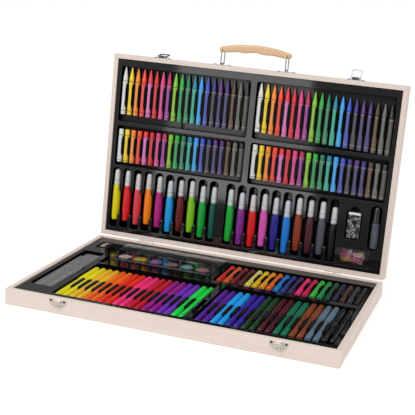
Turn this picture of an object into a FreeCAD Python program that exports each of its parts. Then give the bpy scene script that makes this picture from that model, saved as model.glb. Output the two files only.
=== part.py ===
import FreeCAD, Part
import math
import os

Vector = FreeCAD.Vector
Placement = FreeCAD.Placement
Rotation = FreeCAD.Rotation

# A hinged wooden art case that lies open: a shallow base and a lid of the same plan, each with a
# moulded black tray of drawing things. Millimetres, Z up. The origin is the middle of the base's
# underside, +X runs along the hinge and +Y from the front to the hinge.
#
# Both halves are built in a half frame: Z = 0 is the rim and the inside is below it, X = 0 is the
# middle. In the base Y runs from the front (0) to the hinge (case_depth), in the lid from the
# hinge (0) to the front (case_depth).

# ---- case ----
case_width = 530.0
base_height = 26.0
lid_height = 25.0
board = 8.0  # thickness of the four side boards
panel = 3.0  # thickness of the bottom and the lid panel
ease = 0.6  # radius of the boards' rounded edges
rim_gap = 0.5  # between the rims when shut
lean = 5.7  # how far the open lid leans back past upright, degrees

# ---- moulded trays ----
tray_fit = 0.15  # between the tray and the boards
tray_drop = 2.0  # the tray's flange below the rim
sheet = 1.0  # thickness of the moulded sheet
stick_drop = 0.4  # the top of a stick below the flange
stick_rest = 0.1  # under a stick
rib_gap = 0.4  # between a rib's hollow side and the stick that it holds
rib_drop = 0.6  # the top of a rib below the flange
rib_cover = 1.7  # how far a rib reaches over the side of a stick
rib_round = 1.1  # radius of a rib's upper edges
rib_taper = 6.0  # the length over which a rib narrows to its end
rib_end = 3.4  # width of a rib's end
recess_corner = 4.0
pocket_corner = 3.0  # of the small pockets
groove_width = 5.2  # of the groove in the floor below the middle crayons of an upper row
groove_length = 12.0
groove_depth = 2.2
row_edge = 15.5  # from the case's side to the outer rows' recesses
row_divider = 10.5  # between a left and a right recess
recess_side = 1.0  # least room between a recess's end and the first stick
neck_fit = 0.05  # between a cap and the neck it is pushed on

# Free room is what a recess is longer than its sticks. A slide is the share of it that lies
# below a loose stick: one value for the first stick of a row and one for the last.

# ---- wax crayons, upper rows of the lid ----
crayon_dia = 8.5
crayon_gap = 3.6  # between neighbours
crayon_length = 85.0
crayon_cone = 18.0
crayon_tip_dia = 2.4
crayon_room = 14.0
crayon_ribs = (26.5, 68.5)  # from the recess's lower end
crayon_left_slide = (0.93, 0.71)
crayon_right_slide = (0.87, 0.05)

# ---- short crayons, lower rows of the lid ----
stub_dia = 9.0
stub_gap = 3.1
stub_length = 60.0
stub_chamfer = 0.8
stub_room = 12.5
stub_ribs = (19.0, 53.0)
stub_left_slide = (0.46, 0.65)
stub_right_slide = (0.78, 0.38)

# ---- broad markers ----
marker_edge = 13.6  # from the case's side to the first slot
marker_corner = 91.0  # width kept beside the markers for eraser, glue and clips
marker_divider = 15.6  # between the left and the right group
marker_dia = 15.2
marker_fit = 0.35  # beside a marker
marker_wall = 5.1  # between two slots
marker_cap_dia = 12.3
marker_length = 94.0
marker_cap_length = 29.3
marker_neck = 6.0
marker_neck_step = 1.2
marker_room = 16.0
marker_trough = (24.5, 67.5)  # from the slots' lower end
marker_end = 3.6  # radius of a slot's lower corners
marker_tip = 2.2  # corner radius of the lower dividers' ends at the trough
slot_end = 0.92  # a round slot end's corner radius, as a share of half the slot's width
marker_slides = (
    (0.78, 0.79, 0.55, 0.77, 0.62, 0.3, 0.55, 0.66, 0.26, 0.33),
    (0.35, 0.16, 0.11, 0.39, 0.18, 0.04, 0.53, 0.46, 0.5, 0.08),
)

# ---- the lid's layout from the hinge to the front ----
lid_edge = 16.5  # to the marker slots
marker_shelf = 4.5
row_shelf = 7.0
lid_front_edge = 20.5

# ---- things beside the markers, counted from the case's right side ----
eraser_size = (22.0, 44.0, 10.0)
eraser_place = (63.5, 85.5)  # its middle, from the right side and from the hinge
eraser_show = 3.5  # how much of the eraser stands out of its sleeve
sleeve_wall = 0.5
eraser_room = 3.0
eraser_notch = 8.0  # radius of the finger notch
glue_place = 26.5
glue_start = 50.0
glue_length = 72.5
glue_dia = 15.0
glue_cap_length = 28.0
glue_taper = 0.8
glue_neck = 8.0
glue_neck_step = 2.6
glue_room = 2.5
clip_place = (89.0, 30.0)  # from the right side
clip_recess = (16.0, 45.0)  # from the hinge
clip_depth = 7.5
clip_length = 20.0
clip_width = 6.4
clip_wire = 1.0
clip_gap = 1.2  # between two clips of a layer
clip_layers = ((2, 2, 14.0), (2, 2, -16.0), (1, 3, 68.0), (2, 2, 4.0))  # lengthways, side by side, turn
clip_cover_thickness = 0.8
clip_seat = 1.3  # the cover's overlap on the tray
clip_seat_gap = 0.2

# ---- pens in the base ----
pen_left_edge = 67.0  # from the case's left side
pen_right_edge = 16.0
pen_divider = 12.5  # between the two groups, with the finger dent
pen_cap_dia = 10.8
pen_gap = 1.2
pen_barrel_dia = 9.6
pen_length = 143.0
pen_cap_length = 61.0
pen_cap_chamfer = 1.2
pen_neck = 9.0
pen_neck_step = 1.4
pen_room = 21.0
pen_ribs = (43.0, 87.0)
pen_rib_cover = 2.0
pen_left_slide = (0.24, 0.26)
pen_right_slide = (0.23, 0.9)
dent_width = 6.5
dent_span = (38.0, 86.0)  # from the pens' recess's front
dent_depth = 7.0

# ---- slim crayons in the base ----
slim_divider = 12.6  # between the paint box's pocket and the slim crayons
slim_right_edge = 15.0
slim_dia = 9.2
slim_gap = 3.1
slim_length = 81.0
slim_nose = 3.0
slim_nose_dia = 5.4
slim_room = 21.0
slim_ribs = (39.0, 72.0)
slim_slide = (0.6, 0.76)

# ---- the base's layout from the front to the hinge ----
base_edge = 22.0  # to the pens' recesses
pen_shelf = 12.0
slim_back_edge = 30.0

# ---- paint box ----
paint_left = 64.0
paint_back = 14.0  # from the case's back
paint_width = 190.0
paint_depth = 85.0
paint_height = 12.0
paint_wall = 1.2
paint_gap = 0.4  # around the box and under its lid
paint_corner = 3.0
paint_pocket_corner = 0.5  # small, so that the lid's back corners clear it as they turn up
paint_lid_height = 3.2
paint_shelf_depth = 4.0
paint_shelf_wall = 5.0  # between the shelf and the pens' recesses
pan_count = 6
pan_dia = 25.0
pan_gap = 4.0
pan_edge = 7.5  # from the box's front to the pans
pan_depth = 5.0
pan_room = 0.3
brush_length = 150.0
brush_dia = 5.0
brush_tip = 16.0
peg_dia = 1.4
peg_fit = 0.1
ear_width = 5.0
ear_edge = 30.0  # from the box's side to an ear
ear_room = 0.6

# ---- slim box and sharpener ----
slim_box_left = 20.0
slim_box_front = 52.0
slim_box_size = (33.5, 175.0, 5.6)
slim_box_step = 14.0
slim_box_depth = 8.0
slim_box_room = (4.0, 1.0, 6.0, 11.0)  # left, right, front, back
finger_notch = (66.0, 100.0, 6.5)  # from the box's front end, and its reach
sharpener_size = (16.0, 26.0, 10.0)
sharpener_place = (32.0, 44.0)  # its middle, from the left side and from the back
sharpener_room = 1.6
sharpener_finger_room = 8.0  # in front of its mouth
sharpener_bore = 8.2
blade_size = (7.0, 22.0, 0.8)

# ---- hinges ----
hinge_edge = 90.0  # from the case's side to a hinge's middle
hinge_length = 28.0
leaf = 1.0
leaf_reach = 12.0  # below the rim, on the outer face
knuckle_radius = 1.4
knuckle_clear = 0.3  # to the boards and between knuckles
pin_radius = 0.7
pin_fit = 0.05

# ---- screws ----
screw_head = 3.6
screw_head_height = 0.9
screw_shank = 1.8
screw_length = 6.5
hinge_screw_x = 9.5
hinge_screw_drop = 7.0
flush_head = 3.2

# ---- catches on the base's front ----
latch_edge_x = 90.0  # from the case's side to a latch's middle
plate = 0.8  # sheet thickness of all the fittings
catch_width = 29.0
catch_height = 14.5
catch_top = 1.6  # from the rim
catch_screw_x = 11.2
catch_screw_drop = 2.9  # from the plate's top edge
hook_radius = 6.0
hook_drop = 6.2  # the hook's middle from the plate's top edge
hook_lip = 0.9
hook_cover = 1.3  # how far the lip reaches over the claw's bar
hook_mouth = 2.6

# ---- latches on the lid's front ----
latch_width = 30.0
latch_length = 12.5
latch_edge = 1.0  # from the rim
latch_screw_x = 12.3
lever_width = 10.4
lever_thickness = 3.4
lever_length = 11.0
lever_pin_height = 3.2
lever_pin_back = 3.0  # from the rim
lever_pin_radius = 0.8
lever_pin_fit = 0.08
ear = 1.0
ear_gap = 0.3
ear_radius = 1.5
claw_peg_back = 5.8
claw_peg_height = 3.6
claw_inner = 14.0
claw_leg = 2.0
claw_thickness = 1.4
claw_bar = 1.8
claw_reach = 6.3  # from the base's rim to the claw's bar when shut
claw_clear = 0.4  # around the bar in the hook
claw_angles = (165.0, 100.0)  # left and right, from the latched position
claw_peg_radius = 0.8
claw_peg_fit = 0.1
claw_peg_depth = 2.2  # how deep a peg goes into the lever

# ---- handle ----
handle_x = 58.3  # from the handle's middle to each link
handle_shift = -6.5  # the handle's middle from the case's middle
link_wire = 2.1
link_height = 24.2  # between the link's two bars
link_width = 18.0  # between its two legs
link_corner = 2.0
bar_height = 2.3  # of the lower bar above the lid's front
grip_over = 6.0  # past each link
grip_depth = 13.6
grip_fit = 0.3  # around the link's upper bar
grip_slot = 1.2
grip_round = 3.0  # radius of its long edges
bracket_length = 34.5
bracket_width = 8.0
bracket_fit = 0.25
bracket_screw_x = 12.6
# the grip's outline, from the line through its two link holes: (share of the half length, height)
grip_top = ((1.0, 5.7), (0.75, 9.4), (0.36, 12.3), (0.0, 13.3))
grip_under = ((1.0, -3.7), (0.8, -3.1), (0.62, -1.7), (0.5, -1.2), (0.36, -1.9), (0.2, -0.9), (0.0, 0.5))

# ---- worked out from the above ----
half_width = case_width / 2
hinge_x = half_width - hinge_edge
latch_x = half_width - latch_edge_x
axis_out = knuckle_radius + knuckle_clear  # the hinge line behind the outer faces
flange = -tray_drop
marker_slot = (lid_edge, lid_edge + marker_length + marker_room)
stub_start = marker_slot[1] + marker_shelf
stub_recess = (stub_start, stub_start + stub_length + stub_room)
crayon_start = stub_recess[1] + row_shelf
crayon_recess = (crayon_start, crayon_start + crayon_length + crayon_room)
pen_recess = (base_edge, base_edge + pen_length + pen_room)
slim_start = pen_recess[1] + pen_shelf
slim_recess = (slim_start, slim_start + slim_length + slim_room)
case_depth = max(crayon_recess[1] + lid_front_edge, slim_recess[1] + slim_back_edge)


# ---------------------------------------------------------------- shapes
def box(x0, x1, y0, y1, z0, z1):
    """A block between two corners."""
    return Part.makeBox(x1 - x0, y1 - y0, z1 - z0, Vector(x0, y0, z0))


def slab(x0, x1, y0, y1, z0, z1, corner):
    """A block with round upright corners."""
    corner = min(corner, (x1 - x0) / 2 - 0.01, (y1 - y0) / 2 - 0.01)
    block = box(x0, x1, y0, y1, z0, z1)
    upright = [e for e in block.Edges if abs(e.tangentAt(e.FirstParameter).z) > 0.9]
    return block.makeFillet(corner, upright)


def rod(start, end, radius):
    """A round bar between two points."""
    run = end - start
    return Part.makeCylinder(radius, run.Length, start, run)


def lathe(profile, start, direction):
    """A turned piece: (distance along, radius) pairs about the line from start."""
    along = Vector(direction).normalize()
    side = Vector(0, 0, 1) if abs(along.z) < 0.9 else Vector(1, 0, 0)
    points = [start + along * s + side * r for s, r in profile]
    points = [start + along * profile[0][0]] + points + [start + along * profile[-1][0]]
    clean = [p for p, q in zip(points, points[1:] + points[:1]) if (p - q).Length > 1e-6]
    face = Part.Face(Part.makePolygon(clean + clean[:1]))
    return face.revolve(start, along, 360)


def fuse(shapes):
    return shapes[0].multiFuse(shapes[1:]).removeSplitter() if len(shapes) > 1 else shapes[0]


def cut(shape, tools):
    return shape.cut(Part.makeCompound(tools)) if tools else shape


def from_left(x):
    """A place counted from the case's left side, in the case's own frame."""
    return x - half_width


# ---------------------------------------------------------------- placing the two halves
def in_base(shape):
    """From the half frame to the case's frame, for the base."""
    shape = shape.copy()
    shape.translate(Vector(0, -case_depth / 2, base_height))
    return shape


def in_lid(shape):
    """From the half frame to the case's frame, for the lid as it stands open."""
    shape = shape.copy()
    shape.translate(Vector(0, axis_out, -rim_gap / 2))
    shape.rotate(Vector(0, 0, 0), Vector(1, 0, 0), 90 - lean)
    shape.translate(Vector(0, case_depth / 2 + axis_out, base_height + rim_gap / 2))
    return shape


# ---------------------------------------------------------------- screws
def screw(head_middle, outward):
    """A screw whose head's underside sits at head_middle."""
    out = Vector(outward).normalize()
    head = screw_head / 2
    shank = screw_shank / 2
    profile = (
        (-screw_length, shank * 0.3),
        (-screw_length + 1.2, shank),
        (0, shank),
        (0, head),
        (screw_head_height * 0.5, head),
        (screw_head_height, head * 0.55),
    )
    return lathe(profile, head_middle, out)


def flush_screw(head_middle, outward):
    """A countersunk screw whose head lies flush at head_middle."""
    shank = screw_shank / 2
    profile = (
        (-screw_length, shank * 0.3),
        (-screw_length + 1.2, shank),
        (-leaf, shank),
        (0, flush_head / 2),
    )
    return lathe(profile, head_middle, Vector(outward).normalize())


# ---------------------------------------------------------------- case boards
def eased(x0, x1, y0, y1, z0, z1):
    """A board whose long edges are rounded a little."""
    blank = box(x0, x1, y0, y1, z0, z1)
    longest = max(edge.Length for edge in blank.Edges)
    return blank.makeFillet(ease, [edge for edge in blank.Edges if edge.Length > longest - 1e-6])


def boards(height, hinge_at_start):
    """Four boards and a panel in the half frame."""
    low = -height
    first = eased(-half_width, half_width, 0, board, low, 0)
    last = eased(-half_width, half_width, case_depth - board, case_depth, low, 0)
    left = eased(-half_width, -half_width + board, board, case_depth - board, low, 0)
    right = eased(half_width - board, half_width, board, case_depth - board, low, 0)
    inner = half_width - board
    sheet_panel = box(-inner, inner, board, case_depth - board, low, low + panel)
    back, front = (first, last) if hinge_at_start else (last, first)
    return {"front": front, "back": back, "left": left, "right": right, "panel": sheet_panel}


def along_hinge(hinge_at_start, reach):
    """The half frame's Y of a point that lies reach inside the hinge side's outer face."""
    return reach if hinge_at_start else case_depth - reach


def hinge_screws(hinge_at_start):
    """The flush screws of both hinges' leaves in one half."""
    y = along_hinge(hinge_at_start, -leaf)
    outward = Vector(0, y - along_hinge(hinge_at_start, 0), 0)
    return [
        flush_screw(Vector(side * hinge_x + step * hinge_screw_x, y, -hinge_screw_drop), outward)
        for side in (-1, 1)
        for step in (-1, 1)
    ]


# ---------------------------------------------------------------- hinges
def knuckle_spans(x):
    """The X spans of a hinge's three knuckles: outer, middle, outer."""
    third = hinge_length / 3
    start = x - hinge_length / 2
    return [(start + i * third, start + (i + 1) * third) for i in range(3)]


def hinge_leaf(x, hinge_at_start, knuckles, screws):
    """A leaf on the outer face, with the knuckles it carries, in the half frame."""
    axis = Vector(0, along_hinge(hinge_at_start, -axis_out), rim_gap / 2)
    y0, y1 = sorted((along_hinge(hinge_at_start, 0), along_hinge(hinge_at_start, -leaf)))
    top = axis.z - axis_out
    pieces = [box(x - hinge_length / 2, x + hinge_length / 2, y0, y1, -leaf_reach, top)]
    for k in knuckles:
        lo, hi = knuckle_spans(x)[k]
        lo, hi = lo + knuckle_clear / 2, hi - knuckle_clear / 2
        pieces.append(box(lo, hi, y0, y1, top, axis.z))
        pieces.append(rod(Vector(lo, axis.y, axis.z), Vector(hi, axis.y, axis.z), knuckle_radius))
    bore = rod(
        Vector(x - hinge_length, axis.y, axis.z),
        Vector(x + hinge_length, axis.y, axis.z),
        pin_radius + pin_fit,
    )
    return cut(fuse(pieces), [bore] + screws)


def hinge_pin(x):
    """The pin of one hinge, in the base's half frame, with a head at each end."""
    y = case_depth + axis_out
    z = rim_gap / 2
    reach = hinge_length / 2 + knuckle_clear
    shaft = rod(Vector(x - reach, y, z), Vector(x + reach, y, z), pin_radius)
    heads = [
        rod(Vector(x + s * reach, y, z), Vector(x + s * (reach + 0.6), y, z), knuckle_radius * 0.85)
        for s in (-1, 1)
    ]
    return fuse([shaft] + heads)


# ---------------------------------------------------------------- rows of sticks
def row_places(left, right, dia, gap):
    """The X of every stick that a recess from left to right holds, centred in it."""
    room = right - left - 2 * recess_side - dia
    count = int(room / (dia + gap)) + 1
    first = (left + right - (count - 1) * (dia + gap)) / 2
    return [first + i * (dia + gap) for i in range(count)]


def slides(pair, count):
    """Even steps from the first slide to the last."""
    first, last = pair
    return [first + (last - first) * i / max(count - 1, 1) for i in range(count)]


def half_rows(left_edge, right_edge, divider):
    """The X spans of a left and a right recess with a divider between them."""
    left, right = from_left(left_edge), half_width - right_edge
    width = (right - left - divider) / 2
    return (left, left + width), (right - width, right)


def stick_floor(dia):
    """How low the floor under a stick lies."""
    return flange - stick_drop - dia - stick_rest


def stick_axis(dia):
    return flange - stick_drop - dia / 2


def boat(middle, width, y0, y1, z0, z1):
    """A rib between y0 and y1 that narrows to both ends, with round upper edges."""
    taper = min(rib_taper, (y1 - y0) / 3)
    end = min(rib_end, width * 0.9)
    side = [(end / 2, y0), (width / 2, y0 + taper), (width / 2, y1 - taper), (end / 2, y1)]
    plan = [(middle + x, y) for x, y in side] + [(middle - x, y) for x, y in reversed(side)]
    points = [Vector(x, y, z0) for x, y in plan]
    solid = Part.Face(Part.makePolygon(points + points[:1])).extrude(Vector(0, 0, z1 - z0))
    upright = [e for e in solid.Edges if abs(e.tangentAt(e.FirstParameter).z) > 0.9]
    solid = solid.makeFillet(rib_round, upright)
    top = [e for e in solid.Edges if min(v.Z for v in e.Vertexes) > z1 - 1e-6]
    return solid.makeFillet(min(rib_round, end / 2 - 0.1), top)


class Row:
    """A recess with a row of loose sticks: where they lie and the ribs between them."""

    def __init__(self, span, recess, dia, gap, length, slide, ribs, rib_dia, cover=rib_cover):
        self.span, self.recess = span, recess
        self.dia, self.length = dia, length
        self.xs = row_places(*span, dia, gap)
        room = recess[1] - recess[0] - length
        self.ends = [recess[0] + share * room for share in slides(slide, len(self.xs))]
        self.ribs, self.rib_dia, self.cover = ribs, rib_dia, cover
        self.low = stick_floor(dia)

    def sticks(self, make):
        return [make(Vector(x, end, stick_axis(self.dia))) for x, end in zip(self.xs, self.ends)]

    def block(self):
        return (*self.span, *self.recess, self.low)

    def rib_shapes(self):
        """Ribs that hold the sticks' sides: hollow towards them, so that a stick snaps in."""
        width = self.xs[1] - self.xs[0] - self.rib_dia + 2 * self.cover
        y0, y1 = (self.recess[0] + r for r in self.ribs)
        middles = [(a + b) / 2 for a, b in zip(self.xs, self.xs[1:])]
        low, high = self.low - sheet / 2, flange - rib_drop
        blocks = [boat(m, width, y0, y1, low, high) for m in middles]
        z = stick_axis(self.dia)
        beds = [
            rod(Vector(x, y0 - 1, z), Vector(x, y1 + 1, z), self.rib_dia / 2 + rib_gap) for x in self.xs
        ]
        return [cut(block, beds[i : i + 2]) for i, block in enumerate(blocks)]


def lid_rows():
    left, right = half_rows(row_edge, row_edge, row_divider)
    crayons = (crayon_recess, crayon_dia, crayon_gap, crayon_length)
    stubs = (stub_recess, stub_dia, stub_gap, stub_length)
    return {
        "upper_left": Row(left, *crayons, crayon_left_slide, crayon_ribs, crayon_dia),
        "upper_right": Row(right, *crayons, crayon_right_slide, crayon_ribs, crayon_dia),
        "lower_left": Row(left, *stubs, stub_left_slide, stub_ribs, stub_dia),
        "lower_right": Row(right, *stubs, stub_right_slide, stub_ribs, stub_dia),
    }


def pen_rows():
    left, right = half_rows(pen_left_edge, pen_right_edge, pen_divider)
    pens = (pen_recess, pen_cap_dia, pen_gap, pen_length)
    return (
        Row(left, *pens, pen_left_slide, pen_ribs, pen_barrel_dia, pen_rib_cover),
        Row(right, *pens, pen_right_slide, pen_ribs, pen_barrel_dia, pen_rib_cover),
    )


def slim_row():
    pocket_end = from_left(paint_left + paint_width) + paint_gap
    span = (pocket_end + slim_divider, half_width - slim_right_edge)
    return Row(span, slim_recess, slim_dia, slim_gap, slim_length, slim_slide, slim_ribs, slim_dia)


# ---------------------------------------------------------------- trays
def tray(height, blocks, cavities, ribs):
    """A moulded tray: flange, skirt down to the panel, wells with their own walls, and ribs."""
    side = half_width - board - tray_fit
    y0, y1 = board + tray_fit, case_depth - board - tray_fit
    floor = -height + panel
    walls = box(-side, side, y0, y1, floor, flange)
    hollow = box(-side + sheet, side - sheet, y0 + sheet, y1 - sheet, floor, flange)
    solids = [box(-side, side, y0, y1, flange - sheet, flange), walls.cut(hollow)]
    for x0, x1, a0, a1, low in blocks:
        solids.append(box(x0 - sheet, x1 + sheet, a0 - sheet, a1 + sheet, low - sheet, flange))
    return fuse([cut(fuse(solids), cavities)] + ribs)


def well(x0, x1, y0, y1, low, corner=recess_corner):
    """What a well takes out of the tray, open at the top."""
    return slab(x0, x1, y0, y1, low, flange + 1, corner)


def lid_tray():
    blocks, cavities, ribs = [], [], []
    for row in lid_rows().values():
        blocks.append(row.block())
        cavities.append(well(*row.block()))
        ribs += row.rib_shapes()
    for name in ("upper_left", "upper_right"):
        block = floor_groove(lid_rows()[name])
        blocks.append(block)
        cavities.append(well(*block, groove_width / 2))
    half_slot = marker_dia / 2 + marker_fit
    low = stick_floor(marker_dia)
    trough = [marker_slot[0] + t for t in marker_trough]
    for group in marker_groups():
        blocks.append((group[0] - half_slot, group[-1] + half_slot, *marker_slot, low))
        for x in group:
            cavities += marker_slot_ends(x, half_slot, low, sum(trough) / 2)
        cavities.append(marker_trough_cavity(group, low, trough))
    for block, pocket_cavities in (eraser_pocket(), glue_pocket(), clip_pocket()):
        blocks.append(block)
        cavities += pocket_cavities
    return tray(lid_height, blocks, cavities, ribs)


def floor_groove(row):
    """The groove in the middle of a row's floor, at its lower end."""
    x = sum(row.span) / 2
    y = row.recess[0]
    low = row.low - groove_depth
    return (x - groove_width / 2, x + groove_width / 2, y, y + groove_length, low)


def marker_slot_ends(x, half_slot, low, middle):
    """The lower part of a slot, with rounded corners, and its upper part with a round end."""
    y0, y1 = marker_slot
    lower = well(x - half_slot, x + half_slot, y0, middle + half_slot, low, marker_end)
    upper = well(x - half_slot, x + half_slot, middle - half_slot, y1, low, half_slot * slot_end)
    return [lower, upper]


def marker_trough_cavity(group, low, trough):
    """The trough across a group of slots; it leaves the lower dividers' ends rounded."""
    y0, y1 = trough
    half_slot = marker_dia / 2 + marker_fit
    dividers = [
        well(a + half_slot, b - half_slot, y0 - marker_room, y0, low, marker_tip)
        for a, b in zip(group, group[1:])
    ]
    return cut(box(group[0], group[-1], y0 - marker_tip, y1, low, flange + 1), dividers)


def eraser_middle():
    return half_width - eraser_place[0], eraser_place[1]


def eraser_pocket():
    x, y = eraser_middle()
    w, d = eraser_size[0] / 2 + eraser_room, eraser_size[1] / 2 + eraser_room
    low = stick_floor(eraser_size[2])
    notch = Part.makeCylinder(eraser_notch, flange + 1 - low, Vector(x, y + d, low))
    cavities = [well(x - w, x + w, y - d, y + d, low), notch]
    return (x - w, x + w, y - d, y + d + eraser_notch, low), cavities


def glue_pocket():
    x = half_width - glue_place
    w = glue_dia / 2 + glue_room
    low = stick_floor(glue_dia)
    block = (x - w, x + w, glue_start - glue_room, glue_start + glue_length + glue_room, low)
    return block, [well(*block, w * slot_end)]


def clip_span():
    return [half_width - x for x in clip_place]


def clip_pocket():
    x0, x1 = clip_span()
    y0, y1 = clip_recess
    seat = clip_seat + clip_seat_gap
    low = flange - clip_cover_thickness
    ledge = well(x0 - seat, x1 + seat, y0 - seat, y1 + seat, low, pocket_corner)
    block = (x0, x1, y0, y1, flange - clip_depth)
    return block, [well(*block, pocket_corner), ledge]


def base_tray():
    blocks, cavities, ribs = [], [], []
    for row in (*pen_rows(), slim_row()):
        blocks.append(row.block())
        cavities.append(well(*row.block()))
        ribs += row.rib_shapes()
    pockets = (paint_pocket(), paint_shelf(), slim_box_pocket(), sharpener_pocket(), finger_dent())
    for block, pocket_cavities in pockets:
        blocks.append(block)
        cavities += pocket_cavities
    return tray(base_height, blocks, cavities, ribs)


def paint_plan():
    """The paint box's sides: x0, x1, y0, y1."""
    x0 = from_left(paint_left)
    y1 = case_depth - paint_back
    return x0, x0 + paint_width, y1 - paint_depth, y1


def paint_levels():
    """The heights of the paint box's underside, of its lid's lower edge and of its top."""
    top = flange - stick_drop
    return top - paint_height, top - paint_lid_height, top


def paint_pocket():
    x0, x1, y0, y1 = paint_plan()
    g = paint_gap
    block = (x0 - g, x1 + g, y0 - g, y1 + g, paint_levels()[0] - paint_gap)
    return block, [well(*block, paint_pocket_corner)]


def paint_shelf():
    """A shallow step in front of the paint box, where its front edge is gripped."""
    x0, x1, y0, _ = paint_plan()
    block = (x0, x1, pen_recess[1] + paint_shelf_wall, y0, flange - paint_shelf_depth)
    return block, [well(*block)]


def slim_box_pocket():
    x0 = from_left(slim_box_left)
    x1 = x0 + slim_box_size[0]
    y0, y1 = slim_box_front, slim_box_front + slim_box_size[1]
    left, right, front, back = slim_box_room
    block = (x0 - left, x1 + right, y0 - front, y1 + back, flange - slim_box_depth)
    a, b, reach = finger_notch
    low = flange - slim_box_depth
    notch = well(x1 - reach, x1 + reach, y0 + a, y0 + b, low, pocket_corner)
    return block, [well(*block, pocket_corner), notch]


def sharpener_middle():
    return from_left(sharpener_place[0]), case_depth - sharpener_place[1]


def sharpener_pocket():
    x, y = sharpener_middle()
    w, d = sharpener_size[0] / 2 + sharpener_room, sharpener_size[1] / 2 + sharpener_room
    low = stick_floor(sharpener_size[2] + blade_size[2])
    block = (x - w, x + w, y - d - sharpener_finger_room, y + d, low)
    return block, [well(*block)]


def finger_dent():
    """A narrow well in the middle of the divider between the two groups of pens."""
    left, right = half_rows(pen_left_edge, pen_right_edge, pen_divider)
    x = (left[1] + right[0]) / 2
    y0, y1 = (pen_recess[0] + d for d in dent_span)
    block = (x - dent_width / 2, x + dent_width / 2, y0, y1, flange - dent_depth)
    return block, [well(*block, dent_width / 2)]


# ---------------------------------------------------------------- crayons and pens
def crayon(start):
    """A wax crayon in a paper wrapper, with a turned cone at its upper end."""
    r = crayon_dia / 2
    shoulder = crayon_length - crayon_cone
    profile = (
        (0, r * 0.82),
        (0.6, r),
        (shoulder, r),
        (shoulder, r * 0.92),
        (shoulder + 1.6, r * 0.88),
        (crayon_length - 0.8, crayon_tip_dia / 2),
        (crayon_length, crayon_tip_dia / 4),
    )
    return lathe(profile, start, Vector(0, 1, 0))


def stub(start):
    """A short crayon with flat ends."""
    r = stub_dia / 2
    c = stub_chamfer
    profile = ((0, r - c), (c, r), (stub_length - c, r), (stub_length, r - c))
    return lathe(profile, start, Vector(0, 1, 0))


def slim_crayon(start):
    """A wrapped stick with a short rounded nose."""
    r = slim_dia / 2
    shoulder = slim_length - slim_nose
    profile = (
        (0, r * 0.9),
        (0.6, r),
        (shoulder, r),
        (shoulder + slim_nose * 0.4, slim_nose_dia / 2),
        (slim_length, slim_nose_dia / 2 * 0.8),
    )
    return lathe(profile, start, Vector(0, 1, 0))


def pen_barrel(start):
    r = pen_barrel_dia / 2
    length = pen_length - pen_cap_length
    neck = r - pen_neck_step
    profile = ((0, r * 0.86), (0.8, r), (length, r), (length, neck), (length + pen_neck, neck))
    return lathe(profile, start, Vector(0, 1, 0))


def pen_cap(start):
    r = pen_cap_dia / 2
    c = pen_cap_chamfer
    length = pen_cap_length
    mouth = start + Vector(0, pen_length - length, 0)
    profile = ((0, r), (length - c, r * 0.96), (length, r * 0.96 - c))
    neck = pen_barrel_dia / 2 - pen_neck_step
    bore = rod(mouth, mouth + Vector(0, pen_neck + neck_fit, 0), neck + neck_fit)
    return lathe(profile, mouth, Vector(0, 1, 0)).cut(bore)


# ---------------------------------------------------------------- broad markers
def marker_groups():
    """The X of the markers of the left and of the right group."""
    pitch = marker_dia + 2 * marker_fit + marker_wall
    left, right = half_rows(marker_edge, marker_corner, marker_divider)
    half_slot = marker_dia / 2 + marker_fit
    count = int((left[1] - left[0] - 2 * half_slot + 0.01) / pitch) + 1
    return [[span[0] + half_slot + i * pitch for i in range(count)] for span in (left, right)]


def marker_starts():
    """The lower end of every marker's centre line."""
    left, right = marker_groups()
    z = stick_axis(marker_dia)
    places = zip(left + right, marker_slides[0] + marker_slides[1])
    return [Vector(x, marker_slot[0] + share * marker_room, z) for x, share in places]


def marker_barrel(start):
    r = marker_dia / 2
    length = marker_length - marker_cap_length
    neck = marker_cap_dia / 2 - marker_neck_step
    profile = (
        (0, r * 0.76),
        (1.2, r * 0.83),
        (length * 0.09, r * 0.89),
        (length * 0.32, r),
        (length * 0.7, r),
        (length, marker_cap_dia / 2 + 0.3),
        (length, neck),
        (length + marker_neck, neck),
    )
    return lathe(profile, start, Vector(0, 1, 0))


def marker_cap(start):
    r = marker_cap_dia / 2
    length = marker_cap_length
    mouth = start + Vector(0, marker_length - length, 0)
    profile = (
        (0, r),
        (length * 0.3, r * 0.98),
        (length * 0.86, r * 0.89),
        (length * 0.95, r * 0.7),
        (length, r * 0.35),
    )
    bore = rod(mouth, mouth + Vector(0, marker_neck + neck_fit, 0), r - marker_neck_step + neck_fit)
    return lathe(profile, mouth, Vector(0, 1, 0)).cut(bore)


# ---------------------------------------------------------------- eraser, glue pen, clips
def eraser_parts():
    """The eraser and its card sleeve, which leaves its upper end bare."""
    x, y = eraser_middle()
    w, d, h = eraser_size
    t = sleeve_wall
    top = flange - stick_drop
    sleeve = box(x - w / 2, x + w / 2, y - d / 2, y + d / 2 - eraser_show, top - h, top)
    inner = (x - w / 2 + t, x + w / 2 - t, top - h + t, top - t)
    tunnel = box(inner[0], inner[1], y - d, y + d, inner[2], inner[3])
    block = slab(inner[0], inner[1], y - d / 2, y + d / 2, inner[2], inner[3], 1.2)
    return block, sleeve.cut(tunnel)


def glue_parts():
    """The glue pen's clear body and its cap."""
    start = Vector(half_width - glue_place, glue_start, stick_axis(glue_dia))
    along = Vector(0, 1, 0)
    r = glue_dia / 2
    split = glue_length - glue_cap_length
    neck = r - glue_neck_step
    profile = (
        (0, r * 0.72),
        (1.2, r * 0.86),
        (split * 0.62, r - glue_taper * 0.5),
        (split * 0.64, r - glue_taper),
        (split, r - glue_taper),
        (split, neck),
        (split + glue_neck, neck),
    )
    body = lathe(profile, start, along)
    mouth = start + along * split
    cap = lathe(((0, r), (glue_cap_length * 0.85, r * 0.9), (glue_cap_length, r * 0.6)), mouth, along)
    return body, cap.cut(rod(mouth, mouth + along * (glue_neck + neck_fit), neck + neck_fit))


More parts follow.
